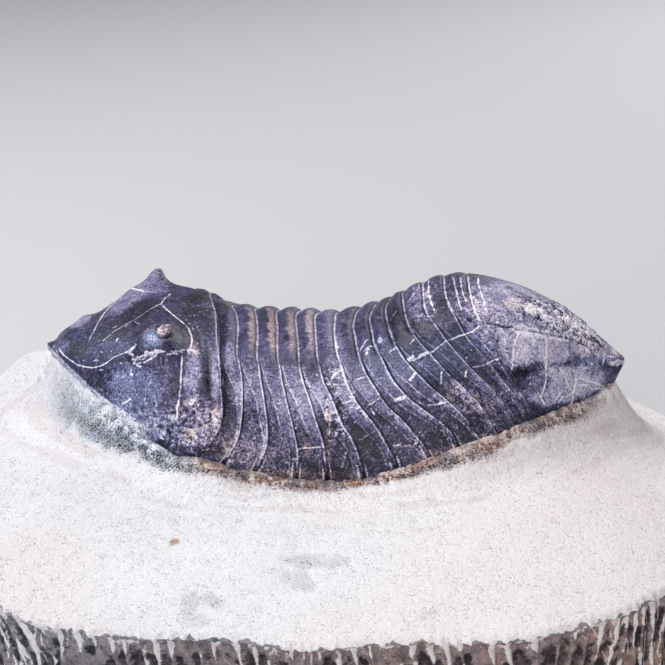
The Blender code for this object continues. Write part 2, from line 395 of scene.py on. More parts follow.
# %% Traced lines
HEAD_VEINS = [
    "100,343 117,330 135,319.5 151,309 161,305 163,301 167.5,296.5 174,290",
    "161,305 171,313 181,321 189,329 192,338 191,347 188,355",
    "57,344 61.5,353 69,359.5 77,365 91,368 101,366 109,361 114,357 126,353 135,347",
    "182,353 182,369 181,386 179,399 177,409 177,424",
    "88,344 90,338 98,323 106,310 117,300 132,293 147,292 161,291",
]
HEAD_FINE = [
    "169,309 186,306 200,305 215,305",
    "194,321 197,326 200,332",
    "148,323 153,321 157,322",
    "188,355 193,352 200,350 215,349",
    "184,318 190,324 196,334",
]
HEAD_SCRATCHES = [
    "126,353 131,349 135,346",
    "131,361 138,358 147.5,353 158,352 163,350",
    "133,364 146,362 158,354",
    "131,361 134,355 129,353",
    "166,355 177,354.5",
    "181,350.5 190,350",
    "136,365 142,367",
    "92,360.5 98,360",
    "99,370 103,370",
    "113,328 117,326",
    "125,327 128,325",
    "134,321 139,324",
    "133,366 137,358 142,360 148,354 154,357 160,351 168,353",
    "127,353 133,350 136,344",
    "138,360 146,351 152,355",
    "150,357 156,350 164,352",
    "171,356 176,351 183,353",
    "187,352 191,349 195,352",
    "118,338 117,342",
    "131,373 133,375",
    "126,420 132,423 138,425",
    "122,404 127,401 131,398",
    "117,414 124,409",
    "160,437 167,440",
]
THORAX_VEINS = [
    "420,356 431,351.6 443.6,343 456,337 466,334 473,331 481,324",
    "407,361 413,358 420,356",
    "472,367 486,365 492,361 502,358",
    "467,369 466,374 465,378",
    "344,403 352,399",
    "367,405 380,397",
    "370,405 375,415",
    "351,379 363,375",
    "427,405 447,402",
    "442,370 441,385",
    "360,440 373,432",
    "391,446 412,446 419,441",
    "331,378 340,368",
    "358,347 368,337",
    "361,350 375,341",
    "387,352 396,346",
    "408,345 415,338",
    "389,319 397,310",
    "295,449 308,448 323,447",
    "346,450 345,460 342,468",
]
THICK_VEINS = [
    "394,401 406,396",
    "409,380 416,372",
    "407,359 414,354",
    "418,356 430,351",
    "366,352 368,347",
]
WIDE_VEIN = "334,328 337,355 343,370 348,385 357,405 370,425"
TAIL_VEINS = [
    "429,279 428,290 431,303 436,312",
    "443.6,276 445,293 454.6,314",
    "452,276 457.7,298 462,312",
    "460,277 462,290 467,303",
    "468,275 470,293 475,312 480,323",
    "477,276 480.5,293 487.6,314",
    "521,331 514,344 513,363",
    "546,336 546.5,356 545,385 540,397 547,407",
    "576,378 573,393 571,407",
    "577,377.5 590,381 607,388",
    "513,363 511,370",
]
TAIL_CRACK = "481,322.5 499,325 521,329 546,334 571,339 594,349"
TAIL_SCRATCHES = [
    "579,385 588,385",
    "594,389 602,388",
    "565,377 568,386",
    "558,403 563,396",
    "590,363 594,365",
    "605,352 603,366",
    "560,367 563,374",
    "500,327 506,334",
    "523,331 533,333 541,334",
    "584,347 590,352",
    "607,356 614,357",
    "556,399 560,392",
]
print(len(HEAD_VEINS + THORAX_VEINS + THICK_VEINS + TAIL_VEINS) + 1, "veins traced")

# %% [markdown]
# ## Patches of colour and crust
# Broad areas differ too: a crusted lower cheek, a scraped tail, dark polished fields, a painted blue sheen.
# Each patch is a soft ellipse in the picture: centre, half sizes, turn in degrees and strength. A
# patch doesn't paint a flat colour: it moves the tone that the stone's own grain is centred on.

# %% Traced patches
COLOURS = ("pale", "warm", "dark", "lilac", "blue", "crust", "speck_and_glint")
# Numbers that tell the material where the seams are: segment number, length of a segment in mm, how
# far a point is behind the slanting furrow in mm, and whether there are segments and flanks at all
GUIDES = ("segment", "span", "furrow", "lined", "flank")
PATCHES = {
    "lilac": [
        (131, 298, 36, 8, -36, 0.4), (159, 279, 14, 13, 0, 0.35), (192, 374, 9, 26, 0, 0.55),
        (216, 374, 5, 30, 0, 0.5), (134, 396, 34, 32, 20, 0.5), (285, 448, 60, 24, 0, 0.3),
        (158, 424, 44, 16, 14, 0.5), (112, 350, 26, 12, -10, 0.2), (192, 430, 32, 26, 8, 0.4),
        (150, 430, 20, 10, 20, 0.65), (160, 380, 20, 30, 0, 0.2),
        (285, 398, 60, 32, 12, 0.54), (231, 350, 6, 44, 0, 0.4), (335, 350, 10, 56, -8, 0.36),
        (262, 420, 18, 26, 0, 0.3), (300, 330, 60, 20, 0, 0.1), (375, 425, 8, 26, -38, 0.3),
        (402, 392, 30, 22, 30, 0.22), (343, 428, 5, 30, -26, 0.5), (421, 303, 15, 20, -20, 0.44),
        (478, 312, 16, 36, -8, 0.4), (456, 300, 14, 24, -8, 0.25), (505, 312, 36, 34, 20, 0.6),
        (545, 322, 54, 26, 24, 0.66), (519, 346, 24, 21, -20, 0.95),
        (546, 347, 28, 17, 12, 0.9), (578, 340, 26, 18, 25, 0.75),
        (588, 366, 16, 12, 0, 0.45), (560, 384, 48, 20, -8, 0.78),
        (606, 352, 14, 10, 30, 0.6), (600, 390, 14, 6, 15, 0.4),
        (495, 352, 14, 22, -30, 0.45), (470, 402, 24, 20, 40, 0.2), (512, 392, 22, 10, 50, 0.25),
        (80, 322, 14, 5, -28, 0.6), (60, 345, 8, 10, 40, 0.3), (442, 340, 20, 26, 35, 0.15),
    ],
    # Painted sheen: these patches turn the shell bluer, as a reflection of the light.
    "blue": [
        (130, 394, 34, 30, 20, 0.9), (104, 352, 34, 20, 0, 0.5), (160, 440, 16, 8, 20, 0.9),
        (574, 392, 40, 14, -14, 0.4), (433, 358, 34, 26, 30, 0.5), (468, 345, 26, 18, 40, 0.5),
        (386, 356, 26, 28, 0, 0.5), (152, 338, 7, 9, 0, 0.8), (85, 346, 26, 18, -20, 0.85),
        (484, 386, 20, 10, 45, 0.3), (150, 418, 34, 12, 14, 0.5), (588, 366, 14, 10, 0, 0.5),
    ],
    "dark": [
        (196, 318, 20, 28, 0, 0.35), (206, 372, 5, 26, 0, 0.4), (229, 326, 8, 26, 0, 0.4),
        (360, 448, 58, 20, -6, 0.35), (430, 430, 50, 14, -22, 0.35), (333, 425, 3.5, 6, 0, 1.0),
        (338, 404, 2, 5, 0, 0.6), (528, 380, 23, 14, 10, 0.55),
        (76, 350, 16, 10, -40, 0.3), (447, 290, 22, 14, 0, 0.25),
        (143, 358, 26, 12, 0, 0.2), (290, 464, 44, 10, 4, 0.4),
        (100, 385, 18, 10, 40, 0.35), (392, 318, 9, 24, -10, 0.35), (414, 338, 12, 22, -25, 0.3),
        (164, 443, 8, 6, 10, 0.7), (138, 312, 26, 10, -34, 0.4),
        (215, 448, 10, 6, 0, 0.6), (240, 458, 12, 8, 0, 0.35), (500, 412, 16, 20, 45, 0.3),
        (535, 304, 16, 2.2, 25, 0.9), (560, 321, 15, 1.8, 30, 1.0), (582, 334, 12, 2, 34, 1.0),
        (547, 311, 10, 1.6, 28, 0.9), (596, 341, 9, 1.8, 42, 0.9), (510, 288, 3.5, 1.5, 20, 1.0),
        (469, 320, 3, 2, 0, 1.0), (522, 296, 12, 3, 22, 0.5), (570, 332, 14, 1.5, 24, 0.6),
    ],
    "crust": [
        (192, 430, 36, 27, 8, 1.0), (150, 410, 26, 10, 18, 0.5), (471, 408, 34, 28, 35, 0.6),
        (562, 322, 48, 19, 27, 1.0), (333, 378, 8, 26, -14, 0.6),
        (334, 420, 12, 26, -5, 1.0), (421, 303, 16, 22, -20, 0.55),
        (330, 446, 14, 32, 0, 0.6), (455, 300, 24, 26, 0, 0.45), (585, 343, 18, 10, 30, 0.6),
        (232, 452, 14, 12, 0, 0.6), (290, 462, 60, 14, 4, 0.5), (440, 436, 50, 12, -20, 0.5),
        (270, 440, 24, 22, 0, 0.4), (500, 345, 20, 40, -30, 0.35),
    ],
    # Denser pale specks: speckled stone on the head, and painted glints on the tail.
    "speck_and_glint": [
        (196, 318, 26, 34, 0, 0.9), (110, 352, 50, 30, -20, 0.6), (150, 390, 50, 40, 20, 0.7),
        (455, 305, 40, 34, 0, 0.8), (540, 330, 70, 40, 22, 0.8), (400, 400, 70, 50, 20, 0.4),
        (570, 388, 40, 16, -12, 0.8), (280, 410, 60, 50, 0, 0.4),
    ],
    "warm": [
        (190.5, 436, 8, 8, 0, 0.6), (189, 402.5, 6, 5, 0, 0.55), (211, 399.5, 8, 6, 0, 0.3),
        (215, 413, 4, 11, 0, 0.5), (226, 447, 6, 8, 0, 0.6), (512, 304, 11, 6, 15, 0.5),
        (532, 308, 9, 6, 20, 0.45), (328, 417, 4, 10, -10, 0.8), (328, 440, 3, 24, 0, 0.6),
        (165, 332, 6, 6, 0, 0.5), (308, 450, 5, 10, 0, 0.5), (452, 392, 12, 9, 30, 0.4),
        (478, 404, 14, 9, 45, 0.4), (300, 474, 70, 6, 2, 0.6), (455, 448, 50, 6, -18, 0.5),
        (433, 292, 8, 12, 0, 0.3), (618, 352, 7, 4, 30, 0.7), (192, 345, 5, 12, -20, 0.5),
    ],
    "pale": [
        (379, 338, 3, 2.5, 0, 0.7), (189, 402, 5, 4, 0, 0.3),
        (478, 306, 9, 14, 0, 0.2), (430, 316, 10, 5, -30, 0.2), (96, 402, 4, 3, 20, 0.5),
        (556, 318, 46, 10, 25, 0.3), (540, 334, 34, 5, 12, 0.3), (333, 372, 6, 26, -14, 0.15),
        (617, 363, 7, 3, -10, 0.5), (131, 422, 8, 2.5, 22, 0.5),
    ],
}
print(sum(len(patches) for patches in PATCHES.values()), "patches traced")

# %% [markdown]
# ## How the marks reach the shell
# Each point of the shell asks how far it is from every traced line, in millimetres over the body,
# and where it lies in every patch. The far side asks the same of its mirror image, moved along a
# little, so that it is as rich as the near side without being its exact copy.

# %% Lines and patches read at points of the shell
def distance_to(points, path):
    """Each point's distance from a path of straight runs, and the share of the way along it."""
    best = np.full(len(points), np.inf)
    along = np.zeros(len(points))
    for index, (start, end) in enumerate(zip(path[:-1], path[1:])):
        run = end - start
        share = np.clip((points - start) @ run / max(run @ run, 1e-12), 0, 1)
        away = np.linalg.norm(points - start - share[:, None] * run, axis=-1)
        closer = away < best
        best[closer] = away[closer]
        along[closer] = (index + share[closer]) / (len(path) - 1)
    return best, along


PATCH_START, PATCH_END = 0.35, 1.5  # squared shares of the half sizes between which a patch ends


def ellipse(pixels, patch, wobble):
    """A soft ellipse in the picture: 1 at its middle, 1/2 at its outline, which noise shakes."""
    x, y, half_x, half_y, turn, strength = patch
    turn = np.radians(turn)
    right, down = pixels[:, 0] - x, pixels[:, 1] - y
    first = (right * np.cos(turn) + down * np.sin(turn)) / half_x
    second = (-right * np.sin(turn) + down * np.cos(turn)) / half_y
    reach = first**2 + second**2
    return strength * soft_fall(reach * (1 + 0.5 * wobble) + 0.35 * wobble, PATCH_START, PATCH_END)


# Each kind of line: half width and height in mm, then the colours it brings
LINE_KINDS = {
    "vein": (0.2, 0.12, {"pale": 0.68, "warm": 0.3}),
    "thick": (0.42, 0.16, {"pale": 0.95, "warm": 0.35}),
    "wide": (0.8, 0.1, {"pale": 0.24, "lilac": 0.66, "crust": 0.5}),
    "fine": (0.18, 0.05, {"pale": 0.38}),
    "brown": (0.24, 0.12, {"pale": 0.6, "warm": 0.8}),
    "scratch": (0.19, -0.08, {"pale": 1.0}),
    "crack": (0.28, -0.5, {"dark": 1.0}),
}
BROWN_VEINS = (HEAD_VEINS[1], HEAD_VEINS[3], *TAIL_VEINS[6:9])
LINES = [
    ("vein", HEAD_VEINS), ("fine", HEAD_FINE), ("scratch", HEAD_SCRATCHES + TAIL_SCRATCHES),
    ("vein", THORAX_VEINS), ("thick", THICK_VEINS), ("wide", [WIDE_VEIN]),
    ("vein", TAIL_VEINS), ("crack", [TAIL_CRACK]),
]
PATHS = [
    (on_body(trace(path))[2], "brown" if path in BROWN_VEINS else kind)
    for kind, paths in LINES
    for path in paths
]
REACH = 1.6 * MM  # past this distance a line does nothing
TAPER_START, TAPER_END = -0.02, 0.08  # shares of a line's length over which it starts and ends
EDGE_SHAKE = 0.05 * MM  # how far noise moves a line's edge


def marks_at(points, seed):
    """Height in metres and colours at points of the body, from every traced line and patch."""
    pixels = to_pixels(points)
    wobble = rough(points, 2.4 * MM, seed, octaves=4, gain=0.65)
    patchy = np.clip(0.9 + 0.45 * noise(points, 1.3 * MM, seed + 7), 0.5, 1.1)
    colours = {name: np.zeros(len(points)) for name in COLOURS}
    for name, patches in PATCHES.items():
        for patch in patches:
            colours[name] = np.maximum(colours[name], ellipse(pixels, patch, wobble))
    height = np.zeros(len(points))
    for path, kind in PATHS:
        half_width, lift, brings = LINE_KINDS[kind]
        close = np.all((points > path.min(axis=0) - REACH) & (points < path.max(axis=0) + REACH), axis=1)
        if not close.any():
            continue
        away, along = distance_to(points[close], path)
        taper = soft_step(np.minimum(along, 1 - along), TAPER_START, TAPER_END)
        shape = bell(away + EDGE_SHAKE * wobble[close], half_width * MM) * taper * patchy[close]
        height[close] += lift * MM * shape
        for name, share in brings.items():
            colours[name][close] = np.maximum(colours[name][close], share * shape)
    return height, colours


print(len(PATHS), "lines laid on the body")

# %% [markdown]
# ## Rings, bands and ribs
# Over the back each segment is a rounded ring, with a thin crack and a pale rib in the valley behind
# it. Down the flanks a slanting furrow parts it into a low front, painted darker as shading, and a
# raised paler rear band, whose white edge stands over the front of the next segment, as roof tiles do.

# %% The relief of one segment
RING_HEIGHT, RING_SINK, RING_PEAK, RING_POWER = 1.3 * MM, 0.55, 1.2, 2.1
TAIL_RING_SHARE = 0.5  # how high the last rings stand next to the first ones
SADDLE_SINK, SADDLE_PLACE, SADDLE_LENGTH = 1.15 * MM, 5.5 * MM, 12 * MM
RIB_HEIGHT, RIB_WIDTH = 0.18 * MM, 0.24 * MM
CRACK_DEPTH, CRACK_WIDTH, CRACK_PLACE = 0.3 * MM, 0.2 * MM, 0.5 * MM
BAND_HEIGHT, FRONT_HEIGHT = 0.7 * MM, 0.15 * MM
STRIP_WIDTH = 1.5 * MM  # of the paler rear edge of a segment, low on the flank
TAIL_RISE = 0.1 * MM
FLANK_START, FLANK_FULL = 0.25, 0.36  # shares across between which rings turn into bands
FAR_DELAY = 0.2  # how much further down the rings reach on the far side, where they make the outline
FLANK_FURROW_PLACE, FLANK_FURROW_DEPTH, FLANK_FURROW_WIDTH = 0.47, 0.45 * MM, 0.07
FURROW_START = 0.1  # the slanting furrow's share of the segment's length, where it begins
FURROW_SHIFTS = [(0.38, 0.26, 0.62), (0.3, 0.6, 0.92)]  # how far it moves back, from and to which share
FURROW_DEPTH, FURROW_WIDTH = 0.15 * MM, 0.24 * MM
DROP_LENGTH = 0.4 * MM  # over which a segment's rear edge falls to the next one
SHADOW_PLACE, SHADOW_WIDTH, SHADOW_DEPTH = 0.6 * MM, 0.3 * MM, 0.2 * MM  # the groove under that edge
SEAM_HEIGHT, SEAM_WIDTH = 0.1 * MM, 0.26 * MM
NOTCH_DEPTH, NOTCH_WIDTH = 1.0 * MM, 0.8 * MM  # between two segments' tips at the margin
STAINED_RINGS = 1.0, 5.0  # the segment numbers between which rings are stained brown
MANY_BANDS, FEW_BANDS = 5.5, 8.5  # segment numbers between which the broad pale bands end


def segment_relief(place, across, points):
    """Height and colours of the segmented part, from the segment number and the share across."""
    share = np.abs(across)
    number = segment_number(place, across)
    part = np.minimum(number - np.floor(number), 1)
    inside = (number > 0) & (number < len(SEAMS) - 1)
    front = np.floor(np.clip(number, 0, len(SEAMS) - 2))
    length = np.interp(front, np.arange(len(SEAMS) - 1), np.diff(SEAMS))
    length = length * (1 + 0.45 * share**2)
    behind = part * length  # metres behind the segment's front seam
    before = (1 - part) * length  # metres in front of its back seam
    nearest = np.minimum(behind, before)
    uneven = 1 + 0.25 * noise(points, 7 * MM, 41)
    fine = rough(points, 1.1 * MM, 43)

    ring = (1 - np.abs(2 * part**RING_PEAK - 1) ** RING_POWER) * uneven - RING_SINK
    ring = RING_HEIGHT * ring * (1 - (1 - TAIL_RING_SHARE) * soft_step(number, 7, 13))
    rib = bell(nearest, RIB_WIDTH)
    crack = bell(before - CRACK_PLACE, CRACK_WIDTH) * soft_step(fine, -0.7, 0.1)
    ring = ring + RIB_HEIGHT * rib - CRACK_DEPTH * crack

    late = sum(shift * soft_step(share, low, high) for shift, low, high in FURROW_SHIFTS)
    early = 0.2 * soft_step(share, 0.35, 0.6) * (front <= 1)
    furrow_part = FURROW_START + late + early + 0.03 * noise(points, 5 * MM, 45)
    on_band = soft_step(part, furrow_part - 0.02, furrow_part + 0.07)
    climb = 0.35 + 0.65 * soft_step(part, furrow_part, 0.95)
    climb = climb * (0.6 + 0.4 * soft_step(share, 0.5, 0.8))
    band = (FRONT_HEIGHT + (BAND_HEIGHT - FRONT_HEIGHT) * on_band * climb) * uneven
    drop = np.exp(-behind / DROP_LENGTH)
    band = band + (BAND_HEIGHT * uneven - band) * drop * 0.9
    shadow = bell(behind - SHADOW_PLACE, SHADOW_WIDTH)
    furrow = bell((part - furrow_part) * length, FURROW_WIDTH) * soft_step(share, 0.24, 0.32)
    band = band - SHADOW_DEPTH * shadow - FURROW_DEPTH * furrow
    band = band + SEAM_HEIGHT * bell(nearest, SEAM_WIDTH)

    flank = soft_step(share - FAR_DELAY * (across > 0) + 0.03 * fine, FLANK_START, FLANK_FULL)
    height = ring * (1 - flank) + band * flank
    height = height - FLANK_FURROW_DEPTH * bell(share - FLANK_FURROW_PLACE, FLANK_FURROW_WIDTH)
    at_margin = soft_step(share, 0.84, 0.97)
    notch = bell(nearest, NOTCH_WIDTH * (0.4 + 0.6 * at_margin)) * at_margin
    height = height * (1 - 0.6 * share**12) - NOTCH_DEPTH * notch
    behind_all = number >= len(SEAMS) - 1
    height = height - SADDLE_SINK * bell(place - SADDLE_PLACE, SADDLE_LENGTH) * (1 - share**4)
    height = height * inside + TAIL_RISE * (1 - share**4) * behind_all

    low_down = soft_step(share + 0.06 * fine, 0.5, 0.72)
    pale = bell(nearest - 0.75 * MM, 0.22 * MM) * at_margin * 0.5
    # Painted shading: the notch between two tips at the margin and the low front of each segment are drawn
    # darker, as the shadow in those hollows.
    dark = np.maximum(notch * 0.8, (1 - on_band) * 0.3 * low_down)
    strip = soft_fall(before, 0.7 * STRIP_WIDTH, STRIP_WIDTH)
    lilac = np.maximum(strip * low_down * 0.5, soft_fall(before, 0.4 * MM, 1.1 * MM) * 0.3)
    broad = soft_fall(number, MANY_BANDS, FEW_BANDS) * bell(share - 0.56, 0.16)
    lilac = np.maximum(lilac, flank * on_band * (0.16 * soft_step(share, 0.25, 0.5) + 0.44 * broad))
    sooty = (1 - on_band) * 0.25 * soft_step(share + 0.1 * fine, 0.62, 0.8)
    first, last = STAINED_RINGS
    stained = soft_step(number, first, first + 0.2) * soft_fall(number, last - 0.2, last)
    ragged = rough(points, 2.2 * MM, 47, octaves=4, gain=0.7)
    stain = stained * soft_step(part + 0.28 * ragged, 0.42, 0.66) * soft_fall(part, 0.9, 0.97)
    stain = stain * soft_fall(share - 0.14 * ragged, 0.12, 0.32) * (0.8 + 0.5 * ragged)
    colours = {"pale": pale, "dark": dark, "lilac": lilac, "warm": np.maximum(stain, sooty)}
    colours = {name: np.clip(value, 0, 1) * inside for name, value in colours.items()}
    guides = {
        "segment": number,
        "span": length / MM,
        "furrow": (part - furrow_part) * length / MM,
        "lined": inside * soft_fall(share, 0.96, 0.985),
        "flank": flank,
    }
    return height, colours, guides


print("a ring stands", RING_HEIGHT / MM, "mm over its seams")

# %% [markdown]
# ## Single features of the head
# The near eye is broken off flat: a smooth mound, with a painted bluish sheen, and a round stub of
# stone in it. A furrow runs down the cheek in front of the head's back edge, and the edge itself is a
# rounded lip. On the far cheek a bit of the brim stands up, and the near cheek has a low pale ledge
# over its edge, which also carries a painted blue sheen.

# %% Features of the head
STUB_RADIUS, STUB_HEIGHT = 1.75 * MM, 0.8 * MM
MOUND_RADIUS, MOUND_HEIGHT, MOUND_SHEEN = 2.8 * MM, 0.5 * MM, 2.6 * MM
STUB_PIXEL, MOUND_PIXEL = (165, 332), (153, 338)
# Low hills and hollows, mostly on the far brim and round the far eye: x, y, radius and height
HEAD_HILLS = MM * np.array(
    [
        (-53.5, 14.5, 5.0, 1.6), (-49.0, 18.5, 3.0, 0.3), (-65.8, 8.8, 2.2, 0.8), (-63.2, 10.2, 1.6, -1.1),
        (-41.2, 21.5, 6.0, -2.9), (-36.5, 23.0, 4.5, -1.2), (-47.2, 20.0, 2.7, 1.4),
        (-74.0, 1.8, 3.2, -1.3), (-40.3, -23.6, 3.2, 1.1), (-33.5, 9.0, 5.0, 0.7),
    ]
)
FAR_BRIM = 2  # the hill of the list that is paler
NECK_FURROW_AHEAD, NECK_FURROW_WIDTH, NECK_FURROW_DEPTH = 3.4 * MM, 0.9 * MM, 0.45 * MM
LIP_LENGTH = 0.9 * MM


def on_body_spot(right, down):
    """The point of the body under one pixel."""
    return lookup["points"][nearest_knots(np.array([[right, down]]))[0]]


EYE_STUB = on_body_spot(*STUB_PIXEL)
EYE_MOUND = on_body_spot(*MOUND_PIXEL)


def head_relief(place, across, points):
    """Height and colours of the head's own features."""
    share = np.abs(across)
    ahead = seam_place(0, across) - place
    furrow = bell(ahead - NECK_FURROW_AHEAD, NECK_FURROW_WIDTH)
    furrow = furrow * soft_step(share, 0.1, 0.3) * soft_fall(share, 0.5, 0.9)
    lip = 1 - np.sqrt(np.clip(1 - (1 - np.clip(ahead / LIP_LENGTH, 0, 1)) ** 2, 0, 1))
    height = -NECK_FURROW_DEPTH * furrow - LIP_LENGTH * lip * (1 - share**EDGE_POWER)

    stub = np.linalg.norm(points - EYE_STUB, axis=-1)
    mound = np.linalg.norm(points - EYE_MOUND, axis=-1)
    stony = rough(points, 0.9 * MM, 61, octaves=3, gain=0.7)
    outline = STUB_RADIUS * (1 + 0.25 * noise(points, 1.6 * MM, 63))
    disc = soft_step(outline - stub, -0.2 * MM, 0.25 * MM)
    height = height + MOUND_HEIGHT * bell(mound, MOUND_RADIUS)
    height = height + disc * (STUB_HEIGHT + 0.35 * MM * stony)
    moat = bell(stub - STUB_RADIUS * 1.25, 0.3 * MM)
    height = height - 0.2 * MM * moat
    hills = [
        bell(np.hypot(points[..., 0] - x, points[..., 1] - y), radius) for x, y, radius, _ in HEAD_HILLS
    ]
    height = height + sum(rise * hill for rise, hill in zip(HEAD_HILLS[:, 3], hills))
    margin = soft_step(share, 0.95, 0.98) * soft_fall(place, -56 * MM, -44 * MM)
    rim = bell(ahead - 0.4 * MM, 0.32 * MM) * (1 - share**EDGE_POWER)
    # Painted sheen: the mound and the ledge are drawn paler and bluer, as a reflection of the light.
    sheen = bell(mound, MOUND_SHEEN)
    colours = {
        # Painted shading: the moat round the stub and the neck furrow are drawn darker.
        "dark": np.maximum(0.5 * moat, 0.4 * furrow) + 0.6 * disc * soft_fall(stony, -0.4, 0.0),
        "pale": 0.45 * rim + 0.2 * disc + 0.4 * margin,
        "lilac": 0.4 * rim + 0.65 * sheen + 0.5 * hills[FAR_BRIM],
        "blue": np.maximum(0.8 * sheen, 0.7 * margin),
        "warm": 0.7 * disc,
    }
    return height, colours, {}


print("eye stub at", (EYE_STUB / MM).round(1), "mm")

# %% [markdown]
# ## One grid of shell
# Head, segments and tail are three grids of the same two numbers, so that each can be fine enough:
# cells of about a quarter of a millimetre. A grid is dressed by adding all heights along its
# normals, and every colour is kept as a number at each vertex for the material to read.

# %% Dressing a grid
TWIN_SHIFT = 9 * MM  # how far the mirrored marks are moved along the body
HORIZON_FADE = 0.12  # share across, past the horizon, over which the mirrored marks take over
SEEN_SEED, TWIN_SEED = 11, 23
SLOW_WAVES, FAINT_ROUGHNESS = 0.3 * MM, 0.06 * MM
CRUST_LUMPS, CRUST_GRIT = 0.4 * MM, 0.3 * MM


def dress(place, across, head_back, relief):
    """Points in space and colours of a grid of the shell."""
    base = body_surface(place, across, head_back)
    normal = normals_of(base)
    facing = np.sum(normal * (CAMERA_PLACE - base), axis=-1) > 0
    horizon = np.max(np.where(facing, across, -1), axis=1, keepdims=True)
    seen = soft_step(horizon - across, -HORIZON_FADE, 0.0)
    twin_place = np.clip(place + TWIN_SHIFT * soft_step(across, 0.1, 0.5), SNOUT, TAIL)
    if relief is head_relief:
        twin_place = np.minimum(twin_place, head_back)
    twin = body_surface(twin_place, -np.abs(across), head_back)

    height = np.zeros(place.shape)
    colours = {name: np.zeros(place.shape) for name in COLOURS}
    for points, weight, seed in ((base, seen, SEEN_SEED), (twin, 1 - seen, TWIN_SEED)):
        used = weight > 0
        lift, brought = marks_at(points[used], seed)
        height[used] += lift * weight[used]
        for name, value in brought.items():
            colours[name][used] += value * weight[used]
    lift, brought, guides = relief(place, across, base)
    height += lift
    for name, value in brought.items():
        colours[name] = np.maximum(colours[name], value)

    free = 1 - 0.8 * np.abs(across) ** 16
    crust = np.clip(colours["crust"], 0, 1)
    lumps = rough(base, 1.9 * MM, 51, octaves=3, gain=0.6)
    grit = rough(base, 0.85 * MM, 53, octaves=2, gain=0.7)
    height += free * (FAINT_ROUGHNESS * grit + SLOW_WAVES * noise(base, 9 * MM, 59))
    height += free * crust * (CRUST_LUMPS * lumps + CRUST_GRIT * grit)
    raised = grit + 0.6 * lumps
    # Painted shading: the crust is drawn darker in its low hollows.
    shaded_crevice = soft_fall(raised, -0.55, -0.12)
    flake = soft_step(raised, 0.12, 0.5)
    colours["dark"] = np.maximum(colours["dark"], crust * shaded_crevice * 0.8)
    colours["lilac"] = np.maximum(colours["lilac"], colours["lilac"] + crust * flake * 0.35)
    points = base + normal * height[..., None]
    colours = {name: np.clip(value, 0, 1) for name, value in colours.items()}
    for name in GUIDES:
        colours[name] = guides.get(name, np.zeros(place.shape))
    return points, colours


print("shell colours:", ", ".join(COLOURS))

# %% [markdown]
# ## From grids to closed meshes
# A grid becomes quads between neighbouring points. Extra rows turn its open ends down into the
# body, and a ruled underside joins its two long edges, so that each piece is a closed solid. Hidden
# faces are flat-shaded, which also keeps their direction out of the visible surface's shading.

# %% Mesh making
def grid_faces(rows, columns, first=0):
    """The quads of a grid whose vertices are numbered row by row."""
    corner = first + np.arange((rows - 1) * columns).reshape(rows - 1, columns)[:, :-1]
    return np.stack([corner, corner + columns, corner + columns + 1, corner + 1], axis=-1).reshape(-1, 4)


def make_piece(name, points, quads, hidden_quads, polygons, colours, material):
    """A mesh object from points, visible quads, hidden quads and a few hidden polygons."""
    mesh = bpy.data.meshes.new(name)
    loops = np.concatenate([quads.ravel(), hidden_quads.ravel(), *[np.asarray(p) for p in polygons]])
    sizes = [4] * (len(quads) + len(hidden_quads)) + [len(p) for p in polygons]
    mesh.vertices.add(len(points))
    mesh.vertices.foreach_set("co", np.asarray(points, np.float32).ravel())
    mesh.loops.add(len(loops))
    mesh.loops.foreach_set("vertex_index", loops.astype(np.int32))
    mesh.polygons.add(len(sizes))
    mesh.polygons.foreach_set("loop_start", np.concatenate([[0], np.cumsum(sizes)[:-1]]).astype(np.int32))
    smooth = np.zeros(len(sizes), bool)
    smooth[: len(quads)] = True
    mesh.polygons.foreach_set("use_smooth", smooth)
    mesh.update(calc_edges=True)
    mesh.validate()
    for label, values in colours.items():
        attribute = mesh.attributes.new(label, "FLOAT", "POINT")
        attribute.data.foreach_set("value", np.asarray(values, np.float32).ravel())
    mesh.materials.append(material)
    made = bpy.data.objects.new(name, mesh)
    bpy.context.scene.collection.objects.link(made)
    print(name, "has", len(points), "points and", 2 * (len(quads) + len(hidden_quads)), "triangles")
    return made


COLUMNS = 392
SKIRT = MM * np.array([0.6, 1.4, 2.6, 4.0])  # how deep each extra row goes at an end of a piece
LIP_RUN = -0.12  # how far the rows under the head's lip draw back, as a share of their depth
UNDERSIDE_SINK = 1.5 * MM  # how far the hidden underside lies below the shell's two long edges
across_row = np.linspace(-1, 1, COLUMNS)


def skirt(row, next_row, run=0.0):
    """Rows that go down into the body from an end row, and on past it by a share of the depth."""
    turn = across_row * np.pi / 2
    inwards = np.stack([np.zeros(COLUMNS), -np.sin(turn), -np.cos(turn)], axis=-1)
    past = row - next_row
    past = past / np.linalg.norm(past, axis=-1, keepdims=True)
    return [row + inwards * depth + past * depth * run for depth in SKIRT]


